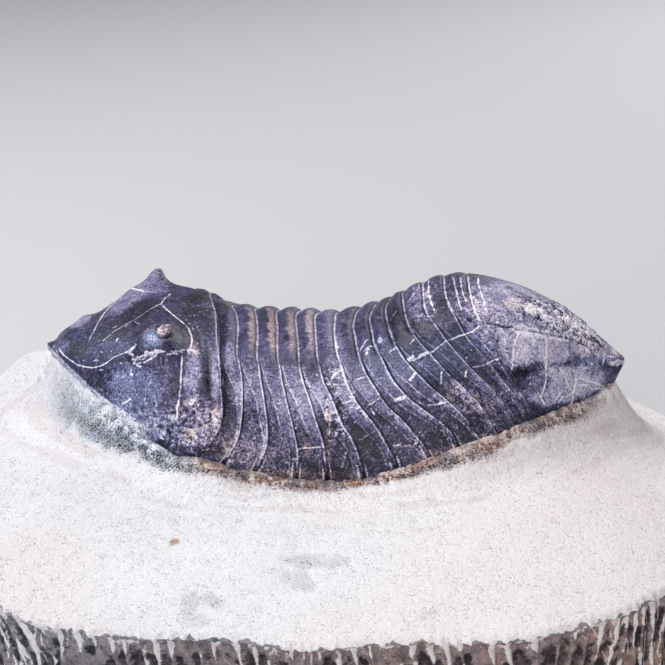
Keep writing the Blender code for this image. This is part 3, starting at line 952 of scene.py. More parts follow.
def shell_piece(name, place, head_back, relief, front_rows, back_rows):
    """A closed piece of shell: its dressed grid, the rows past each end, and its underside."""
    across = np.broadcast_to(across_row, place.shape)
    points, colours = dress(place, across, head_back, relief)
    before = front_rows(points)[::-1]
    after = back_rows(points)
    every = np.concatenate([before, points, after])
    rows = len(every)
    sunk = every.copy()[:, [0, -1]]
    sunk[..., 2] -= UNDERSIDE_SINK
    count = rows * COLUMNS
    all_points = np.concatenate([every.reshape(-1, 3), sunk.reshape(-1, 3)])
    for label, values in colours.items():
        whole = np.pad(values, ((len(before), len(after)), (0, 0)), mode="edge")
        colours[label] = np.concatenate([whole.ravel(), whole[:, [0, -1]].ravel()])
    quads = grid_faces(rows, COLUMNS)
    left = np.arange(rows) * COLUMNS
    right = left + COLUMNS - 1
    left_low = count + 2 * np.arange(rows)
    right_low = left_low + 1
    strips = [(left, left_low), (right_low, right), (left_low, right_low)]
    hidden = [np.stack([a[:-1], b[:-1], b[1:], a[1:]], axis=-1) for a, b in strips]
    first_cap = [*range(COLUMNS), right_low[0], left_low[0]]
    last_cap = [*range(count - COLUMNS, count), right_low[-1], left_low[-1]][::-1]
    hidden, caps = np.concatenate(hidden), [first_cap, last_cap]
    return make_piece(name, all_points, quads, hidden, caps, colours, SHELL_MATERIAL)


print("skirt rows at", SKIRT / MM, "mm")

# %% [markdown]
# ## Building shaders from small steps
# A material is a tree of nodes. The helpers below each add one node and hand back its output, so that
# a material reads like a calculation.

# %% Helpers for shader trees
def new_group(name, inputs, outputs):
    """An empty shader node group with sockets given as (name, type, default)."""
    group = bpy.data.node_groups.new(name, "ShaderNodeTree")
    for label, kind, value in inputs:
        socket = group.interface.new_socket(label, in_out="INPUT", socket_type=kind)
        socket.default_value = value
    for label, kind in outputs:
        group.interface.new_socket(label, in_out="OUTPUT", socket_type=kind)
    return group, group.nodes.new("NodeGroupInput"), group.nodes.new("NodeGroupOutput")


def share_group(name, **inputs):
    """An empty group with numbers in, and one number out that is called Share."""
    sockets = [(label, "NodeSocketFloat", value) for label, value in inputs.items()]
    return new_group(name, sockets, [("Share", "NodeSocketFloat")])


def feed(tree, socket, value):
    """A socket linked to another socket, or set to a plain number or colour."""
    if isinstance(value, bpy.types.NodeSocket):
        tree.links.new(value, socket)
    elif isinstance(value, tuple) and len(value) == 3 and socket.type == "RGBA":
        socket.default_value = (*value, 1)
    else:
        socket.default_value = value


def math_node(tree, operation, *values):
    """One arithmetic node on sockets or plain numbers."""
    node = tree.nodes.new("ShaderNodeMath")
    node.operation = operation
    for socket, value in zip(node.inputs, values):
        feed(tree, socket, value)
    return node.outputs[0]


def times(tree, *values):
    """Two numbers multiplied."""
    return math_node(tree, "MULTIPLY", *values)


def highest(tree, first, *others):
    """The largest of some numbers."""
    for value in others:
        first = math_node(tree, "MAXIMUM", first, value)
    return first


def less(tree, first, second):
    """The first number less the second."""
    return math_node(tree, "SUBTRACT", first, second)


def weighted(tree, base, *terms):
    """The base plus each term's number times its weight."""
    for value, weight in terms:
        base = math_node(tree, "MULTIPLY_ADD", value, weight, base)
    return base


def ramp(tree, source, low, high):
    """A soft step of the source: 0 up to low, 1 from high on. It falls instead when low > high."""
    node = tree.nodes.new("ShaderNodeMapRange")
    node.interpolation_type = "SMOOTHSTEP"
    rising = not (isinstance(low, (int, float)) and isinstance(high, (int, float)) and low > high)
    feed(tree, node.inputs["From Min"], low if rising else high)
    feed(tree, node.inputs["From Max"], high if rising else low)
    node.inputs["To Min"].default_value = 0 if rising else 1
    node.inputs["To Max"].default_value = 1 if rising else 0
    feed(tree, node.inputs["Value"], source)
    return node.outputs["Result"]


def mix_colour(tree, share, first, second):
    """Two colours mixed by a share."""
    node = tree.nodes.new("ShaderNodeMix")
    node.data_type = "RGBA"
    feed(tree, node.inputs[0], share)
    feed(tree, node.inputs[6], first)
    feed(tree, node.inputs[7], second)
    return node.outputs[2]


def object_noise(tree, scale, detail, roughness):
    """A noise texture on Object coordinates; scale counts its features over one metre."""
    coordinates = tree.nodes.new("ShaderNodeTexCoord")
    texture = tree.nodes.new("ShaderNodeTexNoise")
    feed(tree, texture.inputs["Scale"], scale)
    texture.inputs["Detail"].default_value = detail
    texture.inputs["Roughness"].default_value = roughness
    tree.links.new(coordinates.outputs["Object"], texture.inputs["Vector"])
    return texture.outputs["Fac"]


print("a helper turns noise, sums and ramps into one line each")

# %% [markdown]
# ## Shader groups
# Some effects serve both stones, so each is a node group with named inputs. Mottle drifts between 0
# and 1 at many sizes at once, as stone does. Dots scatters small round flecks, and veinlets draws thin
# winding lines.

# %% Mottle, dots and veinlets
def make_mottle():
    """Noise of many sizes, stretched from 0 to 1."""
    group, enter, leave = share_group("mottle", Scale=60, Low=0.35, High=0.65)
    values = {socket.name: socket for socket in enter.outputs}
    share = ramp(group, object_noise(group, values["Scale"], 9, 0.68), values["Low"], values["High"])
    group.links.new(share, leave.inputs["Share"])
    return group


def make_dots():
    """Small round flecks: near a cell's centre, in the cells whose random number is low enough."""
    group, enter, leave = share_group("dots", Scale=700, Size=0.2, Amount=0.5)
    coordinates = group.nodes.new("ShaderNodeTexCoord")
    cells = group.nodes.new("ShaderNodeTexVoronoi")
    group.links.new(coordinates.outputs["Object"], cells.inputs["Vector"])
    group.links.new(enter.outputs["Scale"], cells.inputs["Scale"])
    parts = group.nodes.new("ShaderNodeSeparateColor")
    group.links.new(cells.outputs["Color"], parts.inputs["Color"])
    chosen = math_node(group, "LESS_THAN", parts.outputs["Red"], enter.outputs["Amount"])
    size = times(group, enter.outputs["Size"], weighted(group, 0.3, (parts.outputs["Green"], 0.9)))
    away = math_node(group, "DIVIDE", cells.outputs["Distance"], size)
    near = less(group, 1.0, ramp(group, away, 0.6, 1.0))
    group.links.new(times(group, near, chosen), leave.inputs["Share"])
    return group


def make_veinlets():
    """Thin winding lines: where a noise passes through its middle value."""
    group, enter, leave = share_group("veinlets", Scale=120, Width=0.02)
    from_middle = weighted(group, -0.5, (object_noise(group, enter.outputs["Scale"], 3, 0.5), 1.0))
    from_middle = math_node(group, "ABSOLUTE", from_middle)
    share = less(group, 1.0, ramp(group, from_middle, 0.0, enter.outputs["Width"]))
    group.links.new(share, leave.inputs["Share"])
    return group


MOTTLE, DOTS, VEINLETS = make_mottle(), make_dots(), make_veinlets()
print("groups:", [group.name for group in bpy.data.node_groups])

# %% [markdown]
# ## Tones of the stones
# Each hue of the stones is one ramp from nearly black to nearly white. A material works out a single
# number, the tone, and the ramps turn it into violet, blue, brown or grey stone of that lightness.

# %% Tone groups
def linear(red, green, blue):
    """A colour as a picture shows it, 0 to 255, as the linear values that shaders use."""
    share = np.array([red, green, blue]) / 255
    return tuple(np.where(share <= 0.04045, share / 12.92, ((share + 0.055) / 1.055) ** 2.4).tolist())


def make_tone_group(name, *colours):
    """A tone from 0 to 1 as one of the colours, evenly spaced from dark to light."""
    group, enter, leave = new_group(name, [("Tone", "NodeSocketFloat", 0.5)], [("Color", "NodeSocketColor")])
    node = group.nodes.new("ShaderNodeValToRGB")
    elements = node.color_ramp.elements
    elements[0].color = (*linear(*colours[0]), 1)
    elements[1].color = (*linear(*colours[-1]), 1)
    for index, colour in enumerate(colours[1:-1], start=1):
        elements.new(index / (len(colours) - 1)).color = (*linear(*colour), 1)
    group.links.new(enter.outputs["Tone"], node.inputs["Fac"])
    group.links.new(node.outputs["Color"], leave.inputs["Color"])
    return group


# From dark to light, as a picture shows them, for the shell and then for the rock
HUES = {
    "violet": [(8, 7, 15), (33, 31, 54), (75, 71, 108), (128, 121, 155), (184, 176, 200), (234, 228, 238)],
    "blue": [(8, 9, 20), (32, 36, 66), (66, 76, 118), (114, 128, 170), (172, 182, 208), (226, 230, 240)],
    "warm": [(15, 11, 13), (60, 46, 50), (114, 93, 96), (160, 137, 138), (203, 183, 182), (238, 226, 223)],
    "steel": [(10, 13, 18), (44, 53, 65), (92, 106, 124), (143, 158, 178), (199, 211, 225), (241, 247, 251)],
    "clay": [(15, 11, 12), (62, 49, 51), (117, 98, 99), (164, 143, 143), (212, 195, 195), (244, 235, 235)],
    "rust": [(26, 16, 12), (84, 58, 46), (144, 108, 88), (186, 152, 130), (218, 196, 182), (244, 234, 228)],
    "grey": [(10, 11, 14), (50, 52, 60), (104, 104, 112), (160, 157, 164), (214, 211, 215), (250, 248, 250)],
}
TONES = {hue: make_tone_group(hue + "_tone", *colours) for hue, colours in HUES.items()}


def place_group(tree, group, **values):
    """A node group's first output in a material, with its own values."""
    node = tree.nodes.new("ShaderNodeGroup")
    node.node_tree = group
    for label, value in values.items():
        feed(tree, node.inputs[label], value)
    return node.outputs[0]


def attribute(tree, name):
    """A number that the mesh keeps at each vertex."""
    node = tree.nodes.new("ShaderNodeAttribute")
    node.attribute_name = name
    return node.outputs["Fac"]


def new_material(name):
    """A material with a Principled BSDF, and its tree and shader."""
    material = bpy.data.materials.new(name)
    material.use_nodes = True
    tree = material.node_tree
    return material, tree, tree.nodes["Principled BSDF"]


def add_bump(tree, shader, height, distance, strength):
    """Fine relief that only bends the light: the height's slopes, added to the normal."""
    bump = tree.nodes.new("ShaderNodeBump")
    bump.inputs["Strength"].default_value = strength
    bump.inputs["Distance"].default_value = distance
    tree.links.new(height, bump.inputs["Height"])
    tree.links.new(bump.outputs["Normal"], shader.inputs["Normal"])


print("tones:", ", ".join(TONES))

# %% [markdown]
# ## The petrified shell
# Dark blue-violet stone with a waxy gloss, paler where it was scraped. Everything is one tone that
# the stone's noise of many sizes makes restless: the masks only move that tone up or down, or turn
# its hue to blue or brown, so every mark keeps the grain of the stone it lies in.

# %% Shell material
def make_shell_material():
    """One tone from noise at several sizes and from the masks, then three hues of that tone."""
    material, tree, shader = new_material("petrified_shell")
    cloud = place_group(tree, MOTTLE, Scale=55.0, Low=0.3, High=0.7)
    fine = place_group(tree, MOTTLE, Scale=650.0, Low=0.3, High=0.7)
    quick = place_group(tree, MOTTLE, Scale=1500.0, Low=0.28, High=0.72)
    tiny = place_group(tree, MOTTLE, Scale=3200.0, Low=0.28, High=0.72)
    grain = weighted(tree, 0.0, (fine, 0.15), (quick, 0.4), (tiny, 0.45))
    masks = {name: attribute(tree, name) for name in COLOURS}
    # Pale dots: specks of the stone, and painted glints where the tail's patches ask for more.
    amount = weighted(tree, 0.15, (masks["speck_and_glint"], 0.55))
    flecks = place_group(tree, DOTS, Scale=760.0, Size=0.2, Amount=amount)
    dust_and_glints = place_group(tree, DOTS, Scale=1500.0, Size=0.3, Amount=amount)
    pits = ramp(tree, quick, 0.3, 0.12)
    pale = ramp(tree, weighted(tree, -0.25, (masks["pale"], 1.0), (grain, 0.45)), 0.12, 0.42)
    lilac = ramp(tree, weighted(tree, -0.3, (masks["lilac"], 1.0), (grain, 0.5)), -0.05, 0.95)
    dark = ramp(tree, weighted(tree, 0.3, (masks["dark"], 1.0), (grain, -0.6)), 0.0, 0.85)
    threads = place_group(tree, VEINLETS, Scale=110.0, Width=0.012)
    cracks = times(tree, place_group(tree, VEINLETS, Scale=420.0, Width=0.035), masks["crust"])
    swirls = times(tree, place_group(tree, VEINLETS, Scale=300.0, Width=0.045), masks["crust"])

    guides = {name: attribute(tree, name) for name in GUIDES}
    nearest = math_node(tree, "FRACT", math_node(tree, "ADD", guides["segment"], 0.5))
    behind = times(tree, less(tree, nearest, 0.5), guides["span"])
    ringed = times(tree, guides["lined"], less(tree, 1.0, guides["flank"]))
    flanked = times(tree, guides["lined"], guides["flank"])

    def line(distance, middle, half_width, strength):
        """A line at a given distance in mm, as wide as the grain lets it, in part of the shell."""
        away = math_node(tree, "ABSOLUTE", less(tree, distance, middle))
        away = weighted(tree, 0.5 * half_width, (away, 1.0), (grain, -half_width))
        return times(tree, ramp(tree, away, 1.3 * half_width, 0.6 * half_width), strength)

    pale_lines = [
        (line(behind, 0.0, 0.2, ringed), 0.7), (line(behind, 0.0, 0.18, flanked), 0.9),
        (line(guides["furrow"], 0.0, 0.14, flanked), 0.52),
    ]
    pale = highest(tree, pale, *(times(tree, share, strength) for share, strength in pale_lines))
    # A dark crack before each seam over the rings, and down the flanks a painted shadow just behind each
    # seam, under the raised rear edge.
    crack_and_shadow_lines = [(line(behind, -0.5, 0.2, ringed), 0.8), (line(behind, 0.45, 0.22, flanked), 0.55)]
    dark = highest(tree, dark, *(times(tree, share, strength) for share, strength in crack_and_shadow_lines))

    swing = weighted(tree, 0.45, (masks["crust"], 0.25), (masks["lilac"], -0.1), (masks["blue"], -0.08))
    shaken = weighted(tree, -0.5, (cloud, 0.3), (fine, 0.15), (quick, 0.25), (tiny, 0.3))
    tone = weighted(tree, 0.28, (times(tree, shaken, swing), 2.0))
    tone = weighted(tree, tone, (lilac, 0.52), (dark, -0.4), (masks["warm"], 0.33), (pale, 0.5))
    tone = weighted(tree, tone, (flecks, 0.5), (dust_and_glints, 0.22), (pits, -0.2), (threads, 0.16), (cracks, -0.3))
    tone = weighted(tree, tone, (swirls, 0.26))

    colour = place_group(tree, TONES["violet"], Tone=tone)
    # Painted sheen: the blue mask turns the colour to the blue hue, as a reflection.
    blue = times(tree, masks["blue"], weighted(tree, 0.55, (cloud, 0.5)))
    colour = mix_colour(tree, blue, colour, place_group(tree, TONES["blue"], Tone=tone))
    patchy = ramp(tree, weighted(tree, -0.25, (masks["warm"], 1.0), (fine, 0.5)), 0.1, 0.7)
    earthy = times(tree, masks["crust"], ramp(tree, cloud, 0.45, 0.9))
    patchy = times(tree, highest(tree, patchy, times(tree, earthy, 0.4)), 0.8)
    colour = mix_colour(tree, patchy, colour, place_group(tree, TONES["warm"], Tone=tone))
    tree.links.new(colour, shader.inputs["Base Color"])

    dull = highest(tree, masks["crust"], masks["pale"], masks["warm"], times(tree, masks["lilac"], 0.6))
    tree.links.new(weighted(tree, 0.26, (dull, 0.3), (fine, 0.16)), shader.inputs["Roughness"])
    shader.inputs["Specular IOR Level"].default_value = 0.38
    relief = weighted(tree, 0.0, (fine, 0.5), (quick, 0.35), (tiny, 0.15))
    add_bump(tree, shader, relief, 0.2 * MM, 0.6)
    return material


SHELL_MATERIAL = make_shell_material()
print("shell material has", len(SHELL_MATERIAL.node_tree.nodes), "nodes")

# %% [markdown]
# ## The head
# The head narrows to a snout and ends at the back in a lip that stands over the first segment. Its
# grid runs from the snout to the lip, and the lip's rows turn down behind it.

# %% Make the head
ROWS = 236
SNOUT_CROWDING = 1.2  # the power by which rows crowd towards the snout
SNOUT_ROUNDING = 0.8 * MM
share_along = np.linspace(0, 1, ROWS)[:, None]
back_line = seam_place(0, across_row)[None, :]
head_place = SNOUT + (back_line - SNOUT) * share_along**SNOUT_CROWDING


def snout_rows(points):
    """A blunt end: the first row shrunk towards its middle in four steps, each further out."""
    middle = points[0].mean(axis=0)
    out = np.array([SNOUT_ROUNDING, 0, 0])
    turns = np.radians([25, 50, 72, 88])
    return [middle + (points[0] - middle) * np.cos(t) - out * np.sin(t) for t in turns]


def lip_rows(points):
    """Rows that turn down behind the head's lip, drawn back a little."""
    return skirt(points[-1], points[-2], run=LIP_RUN)


head = shell_piece("head", head_place, back_line, head_relief, snout_rows, lip_rows)

# %% [markdown]
# ## The segments
# Thirteen segments lie between the head's lip and the tail. The grid starts a millimetre under the
# lip, so that no gap shows there.

# %% Make the segments
tail_line = seam_place(len(SEAMS) - 1, across_row)[None, :]
UNDER_LIP = 1.2 * MM
NO_HEAD = SNOUT - 1.0  # a back line so far ahead that no point lies on the head
thorax_place = back_line - UNDER_LIP + (tail_line - back_line + UNDER_LIP) * share_along


def sunk_rows(points):
    """Rows that go down under the piece in front."""
    return skirt(points[0], points[1])


def end_rows(points):
    """Rows that go down under the piece behind."""
    return skirt(points[-1], points[-2])


thorax = shell_piece("thorax", thorax_place, NO_HEAD, segment_relief, sunk_rows, end_rows)

# %% [markdown]
# ## The tail
# The tail shield is one piece, scraped pale above, that tapers to a blunt end.

# %% Make the tail
TAIL_ROUNDING, TAIL_BLUNTNESS = 1.3 * MM, 0.8
tail_place = tail_line + (TAIL - tail_line) * share_along


def tail_end_rows(points):
    """The last row shrunk towards its middle along a quarter ellipse: a rounded blunt end."""
    middle = points[-1].mean(axis=0)
    turns = np.radians(np.linspace(9, 88, 10))
    out = np.array([TAIL_ROUNDING, 0, 0])
    return [middle + (points[-1] - middle) * np.cos(t) ** TAIL_BLUNTNESS + out * np.sin(t) for t in turns]


tail = shell_piece("tail", tail_place, NO_HEAD, segment_relief, sunk_rows, tail_end_rows)

# %% [markdown]
# ## The block's main dimensions
# The block's outline is a superellipse with slow waves on it. Its top swells under both ends of the
# animal, climbs to the animal's edge as a steep flank, and falls towards the rim.

# %% Driving dimensions of the rock
BLOCK_LEFT, BLOCK_RIGHT, BLOCK_FRONT, BLOCK_BACK = 101 * MM, 100 * MM, 88 * MM, 58 * MM
LEFT_SQUARENESS, RIGHT_SQUARENESS = 3.2, 2.7
RIM_WAVES = [(5, 1.1 * MM, 0.6), (8, 0.9 * MM, 2.0), (13, 0.5 * MM, 4.1)]  # count, height, phase
RIM_BEVEL, WALL_LEAN, UNDERSIDE_BEVEL = 1.0 * MM, 2.0 * MM, 1.5 * MM
# How far the top has fallen at each side's rim, and the power of the way out
FRONT_FALL, BACK_FALL, RIGHT_FALL, LEFT_FALL = 12 * MM, 6 * MM, 9 * MM, 3 * MM
FRONT_POWER, BACK_POWER, SIDE_POWER = 2.5, 2, 4
SWELLS = MM * np.array([(-62, 5.5, 28, 60), (56, 6.0, 22, 50)])  # x, height, length, width
CORNERS = MM * np.array([(-86, 34, 4.6, 18), (90, 36, -4.5, 30), (-99, 33, -5.5, 5.5)])  # x, y, rise, width
SWELL_END = 3 * MM  # how far before the rim a corner's swell begins to end
FLANK_SIDE, FLANK_SNOUT, FLANK_TAIL, FLANK_POWER = 4.5 * MM, 3.8 * MM, 6.6 * MM, 1.5
SNOUT_UNDERCUT = 1.5 * MM  # how far the rock lies below the shell's edge at the snout
GAP = 0.8 * MM  # between the shell's edge and the rock in the plain solids


def rim_radius(angle):
    """How far the block's rim is from the origin: a superellipse plus three waves."""
    east, north = np.cos(angle), np.sin(angle)
    half_length = np.where(east < 0, BLOCK_LEFT, BLOCK_RIGHT)
    half_depth = np.where(north < 0, BLOCK_FRONT, BLOCK_BACK)
    power = np.where(east < 0, LEFT_SQUARENESS, RIGHT_SQUARENESS)
    radius = (np.abs(east / half_length) ** power + np.abs(north / half_depth) ** power) ** (-1 / power)
    for count, height, phase in RIM_WAVES:
        radius = radius + height * np.sin(count * angle + phase)
    return radius


def field_height(x, y):
    """The top away from the fossil: bell-shaped swells, falling to the rim as powers."""
    height = np.full_like(x, BED_HEIGHT)
    for swell_x, rise, length, width in SWELLS:
        height += rise * bell(x - swell_x, length) * bell(y, width)
    to_rim = rim_radius(np.arctan2(y, x)) - np.hypot(x, y)
    for corner_x, corner_y, rise, width in CORNERS:
        fade = soft_step(to_rim, 0, SWELL_END) if rise > 0 else 1
        height += rise * bell(np.hypot(x - corner_x, y - corner_y), width) * fade
    height -= FRONT_FALL * np.clip(-y / BLOCK_FRONT, 0, 1) ** FRONT_POWER
    height -= BACK_FALL * np.clip(y / BLOCK_BACK, 0, 1) ** BACK_POWER
    height -= RIGHT_FALL * np.clip(x / BLOCK_RIGHT, 0, 1) ** SIDE_POWER
    height -= LEFT_FALL * np.clip(-x / BLOCK_LEFT, 0, 1) ** SIDE_POWER
    return height


def edge_table():
    """The fossil's edge once round, moved out by the gap, as angle, radius and height."""
    place = np.linspace(SNOUT, TAIL, 3000)
    x, y, z = read_stations(place, EDGE_X, HALF_WIDTH, EDGE_Z)
    x, y, z = np.concatenate([x, x[::-1]]), np.concatenate([-y, y[::-1]]), np.concatenate([z, z[::-1]])
    ahead = np.stack([np.roll(x, -3) - np.roll(x, 3), np.roll(y, -3) - np.roll(y, 3)])
    ahead /= np.hypot(*ahead)
    x, y = x + ahead[1] * GAP, y - ahead[0] * GAP
    angle = np.arctan2(y, x)
    order = np.argsort(angle)
    return angle[order], np.hypot(x, y)[order], z[order] + BED_HEIGHT


EDGE_ANGLE, EDGE_RADIUS, EDGE_HEIGHT = edge_table()
print("rim reaches", round(rim_radius(np.array([0.0]))[0] / MM, 1), "mm to the right of the origin")

# %% [markdown]
# ## Spokes round the block
# The rock's top is a fan of spokes from the fossil's edge to the rim. The spokes are spread so that
# their spacing is fair both at the edge and at the rim.

# %% Spread the spokes
SPOKES = 2160


def spread_spokes(count):
    """Angles whose spacing follows the mean of the edge's and the rim's length round the block."""
    angle = np.linspace(-np.pi, np.pi, 8001)
    speed = 0
    for radius in (np.interp(angle, EDGE_ANGLE, EDGE_RADIUS, period=2 * np.pi), rim_radius(angle)):
        step = np.hypot(np.diff(radius * np.cos(angle)), np.diff(radius * np.sin(angle)))
        speed = speed + step / step.sum()
    run = np.concatenate([[0], np.cumsum(speed)])
    return np.interp(np.linspace(0, run[-1], count + 1)[:-1], run, angle)


spoke = spread_spokes(SPOKES)
spoke_start = np.interp(spoke, EDGE_ANGLE, EDGE_RADIUS, period=2 * np.pi)
spoke_lip = np.interp(spoke, EDGE_ANGLE, EDGE_HEIGHT, period=2 * np.pi)
spoke_lip = spoke_lip - SNOUT_UNDERCUT * np.clip(-np.cos(spoke), 0, 1) ** 12
print(SPOKES, "spokes")

# %% [markdown]
# ## Chisel strokes
# The block's wall was split with a point: slanting grooves of uneven width with sharp pale ridges
# between them. The same strokes bite into the rim, which makes it ragged.

# %% Strokes and rim
STROKE_WIDTH, STROKE_DEPTH = 3.6 * MM, 1.2 * MM
STROKE_LEAN = 0.08 / MM  # stroke widths that a ridge moves sideways for each metre of height
# The rim: the share of the strokes' depth that scallops it, how deep its bites go, and its inset
RIM_SCALLOP, RIM_BITES, RIM_INSET = 0.4, 1.4 * MM, 0.2 * MM
RIM_LEVEL = 32 * MM  # the height whose strokes shape the rim

RIM_ANGLE = np.linspace(-np.pi, np.pi, 4001)
rim_x, rim_y = (rim_radius(RIM_ANGLE) * turn for turn in (np.cos(RIM_ANGLE), np.sin(RIM_ANGLE)))
RIM_RUN = np.concatenate([[0], np.cumsum(np.hypot(np.diff(rim_x), np.diff(rim_y)))])
RIM_RUN *= round(RIM_RUN[-1] / STROKE_WIDTH) * STROKE_WIDTH / RIM_RUN[-1]  # a whole number of strokes


def around(angle, radius, height):
    """Points from their angle, radius and height."""
    return np.stack([radius * np.cos(angle), radius * np.sin(angle), height], axis=-1)


def strokes(angle, height):
    """Depth of the chisel strokes, 0 to 1, and how close the surface is to a ridge between two.

    The wall's length round the block is counted in stroke widths, shaken by noise, and slants with
    the height. The distance from a whole number gives each groove's round section.
    """
    place = around(angle, rim_radius(angle), height * 0.3)
    run = np.interp(angle, RIM_ANGLE, RIM_RUN)
    count = run / STROKE_WIDTH + 1.2 * noise(place, 9 * MM, 71) + 0.4 * noise(place, 3.5 * MM, 73)
    leaning = (0.5 - 0.5 * np.cos(angle)) * (1 + 0.8 * noise(place, 20 * MM, 75))
    count = count + STROKE_LEAN * height * leaning
    part = count - np.floor(count)
    return 1 - (2 * part - 1) ** 2, np.abs(2 * part - 1)


def rim_line_radius(angle):
    """Radius of the ragged rim: the smooth rim less the strokes' ends and broken-off bits."""
    level = np.full_like(angle, RIM_LEVEL)
    depth, _ = strokes(angle, level)
    place = around(angle, rim_radius(angle), level)
    bits = np.clip(rough(place, 5 * MM, 87, octaves=3, gain=0.6), 0, 1)
    return rim_radius(angle) - RIM_INSET - RIM_SCALLOP * STROKE_DEPTH * depth - RIM_BITES * bits


print("strokes round the block:", round(RIM_RUN[-1] / STROKE_WIDTH))

# %% [markdown]
# ## Where the flank ends
# Round the animal the rock is steep and coarser, and painted darker there as shadow. Its lower
# boundary was traced in the picture, like the line where shell and rock meet. A point's share of the
# way between the two lines says how the flank is coloured there. Behind the animal the mirror image
# of the near side is used.

# %% The flank's two traced lines
CONTACT = trace(
    "40,345 57,352 70,366 84,383 100,400 120,412 132,424 147,436 163,448 171,453 194,456 228,465 "
    "255,473 300,479 335,480 370,475 400,470 425,461 440,455 470,446 500,436 520,424 550,414 590,397 "
    "607,388 630,384"
)
FLANK_FOOT = trace(
    "40,400 60,430 86,440 111,450 137,459 163,470 189,475 215,478 240,484 270,489 300,493 335,494 "
    "370,488 400,482 425,476 440,472 470,464 500,451 520,439 560,428 578,422 600,415 630,412"
)


def flank_share(points):
    """0 on the line where shell and rock meet, 1 on the foot of the flank, and the pixel's x."""
    mirrored = points.copy()
    mirrored[..., 1] = -np.abs(mirrored[..., 1])
    pixels = to_pixels(mirrored)
    upper = np.interp(pixels[..., 0], CONTACT[:, 0], CONTACT[:, 1])
    lower = np.interp(pixels[..., 0], FLANK_FOOT[:, 0], FLANK_FOOT[:, 1])
    return (pixels[..., 1] - upper) / (lower - upper), pixels


print("the flank is traced from column", CONTACT[0, 0], "to", CONTACT[-1, 0])

# %% [markdown]
# ## The rock's top
# Pale, granular and softly pitted, with faint strokes of the brush that follow the fossil's edge.
# Three bands make it: a near one, whose rings begin just inside the fossil's edge where the shell
# hides them, a middle one over the field, and one out to the rim.

# %% Points and masks of the rock's top
# Pixel columns between which parts of the flank fade in or out, and a middle with its width
HEAD_FLANK, PALE_SNOUT, OCHRE_START = (150, 225), (70, 125), (170, 215)
FLANK_LEFT, FLANK_RIGHT = (40, 70), (570, 620)
UNDER_TAIL, UNDER_TAIL_WIDTH = 470, 60
INSIDE = 1.9 * MM  # how far under the shell the rings begin
DIP_START, DIP_SLOPE = 0.9 * MM, 2.0  # how far under the shell the rock turns down, and how steeply
NEAR_BAND, RIM_BAND = 13 * MM, 8 * MM
ROCK_COLOURS = ("steel", "clay", "rust", "grain", "shade_and_stains", "broken", "ridge")
SMUDGES = [
    (305, 562, 26, 7, 5, 0.8), (300, 580, 16, 9, 20, 0.7), (338, 561, 12, 5, 0, 0.6),
    (190, 605, 9, 16, 8, 0.75), (212, 601, 14, 6, 20, 0.75), (196, 622, 18, 7, 0, 0.5),
    (432, 612, 14, 6, -20, 0.35), (34, 378, 8, 4, 20, 0.9), (268, 556, 30, 30, 0, 0.12),
]
RUST_SPOTS = [
    (174, 542, 5, 2.6, -8, 1.0), (424, 645, 6, 4, 0, 0.9), (236, 486, 22, 5, 8, 0.2),
    (212, 467, 14, 4, 10, 0.7), (281, 479, 10, 4, -10, 0.8), (356, 483, 16, 4, -5, 0.8),
    (394, 469, 5, 3, 0, 0.6), (427, 463, 12, 4, -20, 0.5), (560, 420, 20, 6, -20, 0.25),
]


